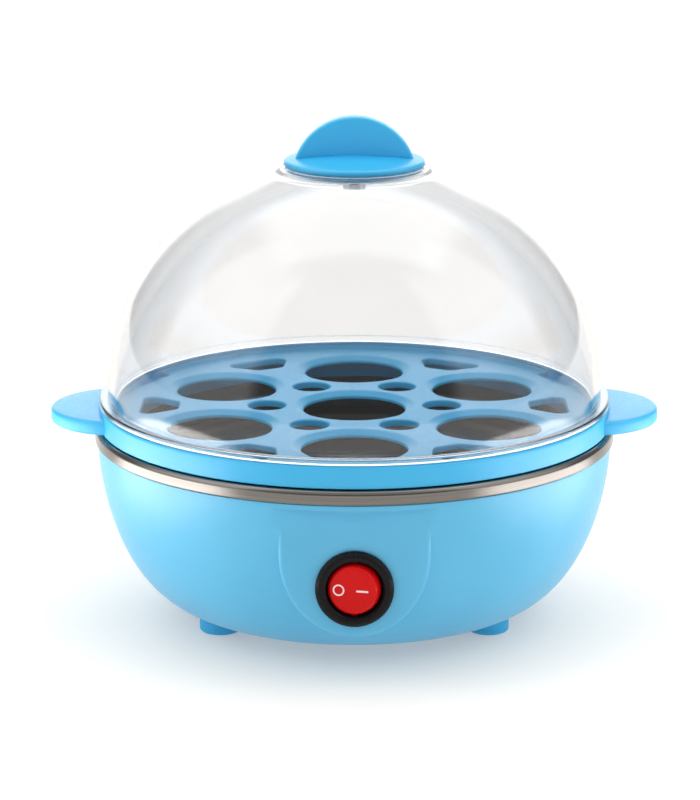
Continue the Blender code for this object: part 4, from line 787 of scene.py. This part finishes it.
def make_rocker():
    low = math.degrees(math.asin(-ROCKER_BACK / ROCKER_RADIUS))
    high = math.degrees(math.asin((ROCKER_FACE - 0.5 * MM) / ROCKER_RADIUS))
    side = arc((0, 0), (ROCKER_RADIUS,) * 2, high, low, 16)
    face_radius = math.sqrt(ROCKER_RADIUS**2 - ROCKER_FACE**2)
    hollow_end = -1 * MM
    profile = rounded(
        [
            (0, ROCKER_FACE, 0),
            (face_radius - 0.4 * MM, ROCKER_FACE, 0.5 * MM),
            *sharp(side),
            (STEM_RADIUS, -ROCKER_BACK, 0),
            (STEM_RADIUS, -STEM_LENGTH, 0.2 * MM),
            (STEM_BORE, -STEM_LENGTH, 0),
            (STEM_BORE, hollow_end, 0),
            (0, hollow_end, 0),
        ]
    )
    rocker = tilted(lathe("rocker_button", profile, MEDIUM))
    pins = []
    for low, high in ((6 * MM, PIN_END), (-PIN_END, -6 * MM)):
        pin = upright("pin", PIN_RADIUS, low, high)
        pins.append(move(pin, 0, PIVOT_Y, SWITCH_Z))
    carve(rocker, "UNION", pins)
    piece(rocker, "rocker", "red_plastic", None, ["rocker"])
    make_marks()


def make_marks():
    """A ring and a dash, printed on the rocker's two sides."""
    sunk, proud = ROCKER_FACE - 0.1 * MM, ROCKER_FACE + 0.06 * MM
    inner, outer, edge = 1.3 * MM, 1.75 * MM, 0.04 * MM
    ring = rounded(
        [(inner, proud, edge), (outer, proud, edge), (outer, sunk, 0), (inner, sunk, 0)]
    )
    ring = tilted(move(lathe("rocker_mark_off", ring, SMALL), -4.0 * MM))
    half, thick = 1.8 * MM, 0.28 * MM
    corners = [(-half, -thick), (half, -thick), (half, thick), (-half, thick)]
    outline = rounded([(x, y, 0.2 * MM) for x, y in corners])
    dash = slab("rocker_mark_on", outline, round_levels(sunk, proud, 0, edge, 2))
    dash = tilted(move(dash, 3.1 * MM))
    for mark in (ring, dash):
        piece(mark, "rocker", "red_plastic", "print")


# ---------------------------------------------------------------- egg tray
def ear_outline(side, inset):
    """A disc's part outside the band, with its inner edge sunk in the band's wall."""
    root = BAND_RADIUS - 1.5 * MM
    centre, radius = EAR_TIP - EAR_RADIUS, EAR_RADIUS - inset
    meet = (root**2 - radius**2 + centre**2) / (2 * centre)
    ear_angle = math.degrees(math.acos((meet - centre) / radius))
    root_angle = math.degrees(math.acos(meet / root))
    outer = arc((centre, 0), (radius, radius), -ear_angle, ear_angle, 72)
    inner = arc((0, 0), (root, root), root_angle, -root_angle, 24)[1:-1]
    return [(side * x, side * y) for x, y in outer + inner]


def vent_outline():
    """A rounded wedge between two seats, on the -Y side."""
    wide, narrow, corner = 13.0 * MM, 4.5 * MM, 3.0 * MM
    outer, inner = -VENT_OUTER, -VENT_INNER
    corners = [(-wide, outer), (wide, outer), (narrow, inner), (-narrow, inner)]
    return rounded([(x, y, corner) for x, y in corners], 10)


def flared(low, high, flare):
    """Levels of a cutter that leaves a rounded upper edge at the level high."""
    levels = [(low, 0)]
    for i in range(5):
        angle = math.pi / 2 * i / 4
        z = high - 0.02 * MM - flare * (1 - math.sin(angle))
        levels.append((z, -flare * (1 - math.cos(angle))))
    levels.append((high + MM, -flare))
    return levels


def seat_cutter(x, y):
    """A hole with a sloped seat whose edges are rounded."""
    low, bevel, width, edge = DECK_BOTTOM - MM, 1.2 * MM, 2.6 * MM, 0.5 * MM
    wide = SEAT_RADIUS + width
    corners = [(0, DECK_TOP + 2 * MM, 0), (wide + edge, DECK_TOP + 2 * MM, 0)]
    for i in range(5):
        share = i / 4
        drop = 0.02 * MM + edge * bevel / width * share**2
        corners.append((wide + edge * (1 - 2 * share), DECK_TOP - drop, 0))
    corners.append((SEAT_RADIUS, DECK_TOP - bevel, 0.5 * MM))
    corners += [(SEAT_RADIUS, low, 0), (0, low, 0)]
    return move(lathe("seat", rounded(corners), MEDIUM), x, y)


def make_tray():
    groove_out, groove_in = BAND_RADIUS - 2.2 * MM, SKIRT_OUT + 2.2 * MM
    groove_top = DECK_TOP - 2.8 * MM
    edge = 0.35 * MM
    profile = rounded(
        [
            (0, DECK_TOP, 0),
            (BAND_IN - 1.2 * MM, DECK_TOP, 0.8 * MM),
            (BAND_IN, DECK_TOP + 0.9 * MM, 0.6 * MM),
            (BAND_IN, BAND_TOP, edge),
            (BAND_RADIUS, BAND_TOP, 0.8 * MM),
            (BAND_RADIUS, BAND_BOTTOM, edge),
            (groove_out, BAND_BOTTOM, edge),
            (groove_out, groove_top, edge),
            (groove_in, groove_top, edge),
            (groove_in, BAND_BOTTOM, edge),
            (SKIRT_OUT, BAND_BOTTOM, edge),
            (SKIRT_OUT, SKIRT_LOW, edge),
            (SKIRT_IN, SKIRT_LOW, edge),
            (SKIRT_IN, DECK_BOTTOM, edge),
            (0, DECK_BOTTOM, 0),
        ]
    )
    tray = lathe("egg_tray_body", profile)
    ears = []
    low = BAND_BOTTOM + EAR_RAISE
    for side in (-1, 1):
        levels = round_levels(low, low + EAR_THICKNESS, 1.0 * MM, 1.2 * MM)
        ears.append(stack("ear", [(z, ear_outline(side, inset)) for z, inset in levels]))
    carve(tray, "UNION", ears)
    carve(tray, "DIFFERENCE", tray_cutters())
    piece(tray, "egg_tray", "blue_plastic", None, ["egg_tray"])


def tray_cutters():
    cutters = [seat_cutter(0, 0)]
    for i in range(6):
        cutters.append(seat_cutter(*place_at(SEAT_PITCH, 60 * i)))
        vent = slab("vent", vent_outline(), flared(DECK_BOTTOM - MM, DECK_TOP, 0.5 * MM))
        cutters.append(move(vent, turn=math.radians(30 + 60 * i)))
        x, y = place_at(SEAT_PITCH / math.sqrt(3), 30 + 60 * i)
        levels = flared(DECK_BOTTOM - MM, DECK_TOP, 0.5 * MM)
        cutters.append(move(slab("steam_hole", circle(STEAM_RADIUS), levels), x, y))
    half, reach = POCKET_HALF, POCKET_REACH
    corners = [(-half, -reach), (half, -reach), (half, reach), (-half, reach)]
    levels = [(DECK_TOP - POCKET_DEPTH, 0), (DECK_TOP + POCKET_DEPTH, 0)]
    for side in (-1, 1):
        outline = rounded([(x, y, 0.6 * MM) for x, y in corners])
        pocket = slab("pocket", outline, levels)
        angle = side * POCKET_ANGLE
        radius = BAND_IN * math.cos(half / BAND_IN) - reach
        x, y = radius * math.sin(angle), -radius * math.cos(angle)
        cutters.append(move(pocket, x, y, 0, angle))
    return cutters


# ---------------------------------------------------------------- lid
def make_dome():
    inner = DOME_RADIUS - DOME_WALL
    hole = KNOB_SCREW_HOLE
    skirt_out = BAND_IN - GAP
    skirt_in = skirt_out - 1.6 * MM
    skirt_low = DOME_LOW.z
    seat = DOME_TOP - 0.4 * MM
    ceiling = DOME_TOP - DOME_WALL
    start = math.degrees(math.acos(SHOULDER_RADIUS / DOME_RADIUS))
    outside = arc((0, DOME_CENTRE), (DOME_RADIUS,) * 2, start, 0.4, 60)
    inside_start = math.degrees(math.acos((SHOULDER_RADIUS - MM) / inner))
    inside = arc((0, DOME_CENTRE), (inner, inner), 1.0, inside_start, 60)
    profile = rounded(
        [
            (hole, seat, 0),
            (KNOB_RADIUS + GAP, seat, 0.1 * MM),
            (KNOB_RADIUS + GAP, DOME_TOP, 0.15 * MM),
            (SEAT_EDGE, DOME_TOP, 0.5 * MM),
            *sharp(outside),
            (DOME_RADIUS, LIP_TOP, 0.8 * MM),
            (LIP_RADIUS, LIP_TOP, 0.5 * MM),
            (LIP_RADIUS, LIP_BOTTOM, 0.2 * MM),
            (skirt_out, LIP_BOTTOM, 0),
            (skirt_out, skirt_low, 0.3 * MM),
            (skirt_in, skirt_low, 0.3 * MM),
            *sharp(inside),
            (SEAT_EDGE, ceiling, 0),
            (hole, ceiling, 0),
        ]
    )
    dome = lathe("dome", profile)
    dome.visible_shadow = False
    piece(dome, "lid", "clear_plastic", None, ["lid_dome"])


def make_knob():
    edge = 1.1 * MM
    disc_top = KNOB_BOTTOM + KNOB_THICKNESS
    reach = KNOB_RADIUS - edge
    profile = [(0, disc_top + KNOB_CROWN)]
    for i in range(1, 15):
        share = i / 15
        profile.append((share * reach, disc_top + KNOB_CROWN * (1 - share**2)))
    rim = arc((reach, KNOB_BOTTOM + edge), (edge, edge), 80, -70, 12)
    profile += [*rim, (KNOB_RADIUS - 1.4 * edge, KNOB_BOTTOM), (0, KNOB_BOTTOM)]
    knob = lathe("knob", profile, MEDIUM)
    carve(knob, "UNION", [knob_grip(disc_top)])
    pilot_top = KNOB_BOTTOM + KNOB_SCREW_REACH
    pilot = upright("pilot", KNOB_SCREW_HOLE, KNOB_BOTTOM - MM, pilot_top)
    carve(knob, "DIFFERENCE", [pilot])
    piece(knob, "lid", "blue_plastic", None, ["lid_knob"])


def knob_grip(disc_top):
    """A half-round fin, with its root sunk in the knob's disc."""
    base = disc_top - 0.2 * MM
    height = KNOB_TIP - base
    radius = (GRIP_HALF_WIDTH**2 + height**2) / (2 * height)
    centre = base + height - radius
    root = KNOB_BOTTOM + 0.5 * MM
    half = math.degrees(math.acos((root - centre) / radius))
    outline = arc((0, centre), (radius, radius), 90 - half, 90 + half, 72)
    edge = 0.9 * MM
    levels = round_levels(-GRIP_HALF_THICKNESS, GRIP_HALF_THICKNESS, edge, edge, 5)
    return to_front(slab("grip", outline, levels))


# ---------------------------------------------------------------- stage
def math_node(tree, operation, *values):
    """A math node whose inputs are values or other nodes' outputs."""
    made = node(tree, "ShaderNodeMath", operation=operation)
    for socket, value in zip(made.inputs, values):
        if isinstance(value, (int, float)):
            socket.default_value = value
        else:
            tree.links.new(value, socket)
    return made.outputs["Value"]


def soft_step(tree, value, start, end):
    """Rises smoothly from 0 at the start to 1 at the end. Falls if the end is lower."""
    made = node(tree, "ShaderNodeMapRange", interpolation_type="SMOOTHSTEP")
    made.inputs["From Min"].default_value = start
    made.inputs["From Max"].default_value = end
    tree.links.new(value, made.inputs["Value"])
    return made.outputs["Result"]


def soft_band(tree, value, low, high, soft):
    """1 between two angles, in degrees, with soft edges outside them."""
    low, high, soft = (math.radians(angle) for angle in (low, high, soft))
    rise = soft_step(tree, value, low - soft, low)
    fall = soft_step(tree, value, high + soft, high)
    return math_node(tree, "MULTIPLY", rise, fall)


def make_world():
    """A studio with a dim front, a pale rear, two side banks and a bank of light overhead.

    Azimuth runs from the front to the right, elevation up from the horizon, tilt from the front
    over the top to the rear, and lateral to the right, all in degrees.
    """
    world = bpy.data.worlds.new("studio")
    world.use_nodes = True
    tree = world.node_tree
    place = node(tree, "ShaderNodeTexCoord").outputs["Generated"]
    split = node(tree, "ShaderNodeSeparateXYZ")
    tree.links.new(place, split.inputs["Vector"])
    x, y, z = split.outputs["X"], split.outputs["Y"], split.outputs["Z"]
    front = math_node(tree, "MULTIPLY", y, -1.0)
    angles = {
        "azimuth": math_node(tree, "ARCTAN2", x, front),
        "elevation": math_node(tree, "ARCSINE", z),
        "tilt": math_node(tree, "ARCTAN2", z, front),
        "lateral": math_node(tree, "ARCSINE", x),
    }
    angles["rear"] = math_node(tree, "ABSOLUTE", angles["azimuth"])
    total = FRONT_LIGHT
    for strength, first, second in STUDIO:
        across = soft_band(tree, angles[first[0]], *first[1:])
        along = soft_band(tree, angles[second[0]], *second[1:])
        both = math_node(tree, "MULTIPLY", across, along)
        total = math_node(tree, "MULTIPLY_ADD", both, strength, total)
    background = tree.nodes["Background"]
    background.inputs["Color"].default_value = (1.0, 0.995, 0.985, 1)
    tree.links.new(total, background.inputs["Strength"])
    bpy.context.scene.world = world


def floor_spot(name, x, y, power):
    """Brightens the floor beside the object, so that the steel rim has something to reflect."""
    data = bpy.data.lights.new(name, "SPOT")
    data.energy = power
    data.spot_size = math.radians(18)
    data.spot_blend = 0.6
    data.shadow_soft_size = 0.01
    light = bpy.data.objects.new(name, data)
    light.location = (x, y, SPOT_HEIGHT)
    bpy.context.scene.collection.objects.link(light)


def make_stage():
    floor = slab("floor", circle(FLOOR_RADIUS, 128), [(-FLOOR_DEPTH, 0), (-0.2 * MM, 0)])
    floor.data.materials.append(MATERIALS["floor"])
    make_world()
    x, y = SPOT_PLACE
    floor_spot("left_spot", -x, y, LEFT_SPOT)
    floor_spot("right_spot", x, y, RIGHT_SPOT)
    bpy.context.scene.view_settings.view_transform = "Standard"


def make_camera():
    """Looks down a little at the front. The bowl's axis stands just right of the middle."""
    elevation = math.radians(14.5)
    distance, level, aside = 1.0, 0.0676, -0.00135
    data = bpy.data.cameras.new("camera")
    data.lens = 143.55
    data.sensor_width = 36.0
    data.clip_start = 0.01
    camera = bpy.data.objects.new("camera", data)
    back, up = distance * math.cos(elevation), distance * math.sin(elevation)
    camera.location = (aside, -back, level + up)
    camera.rotation_euler = (math.pi / 2 - elevation, 0, 0)
    bpy.context.scene.collection.objects.link(camera)
    bpy.context.scene.camera = camera


coat_cad_nodes()
make_base_shell()
make_feet()
make_cord_gland()
make_pan()
make_switch()
make_rocker()
make_tray()
make_dome()
make_knob()
make_stage()
make_camera()
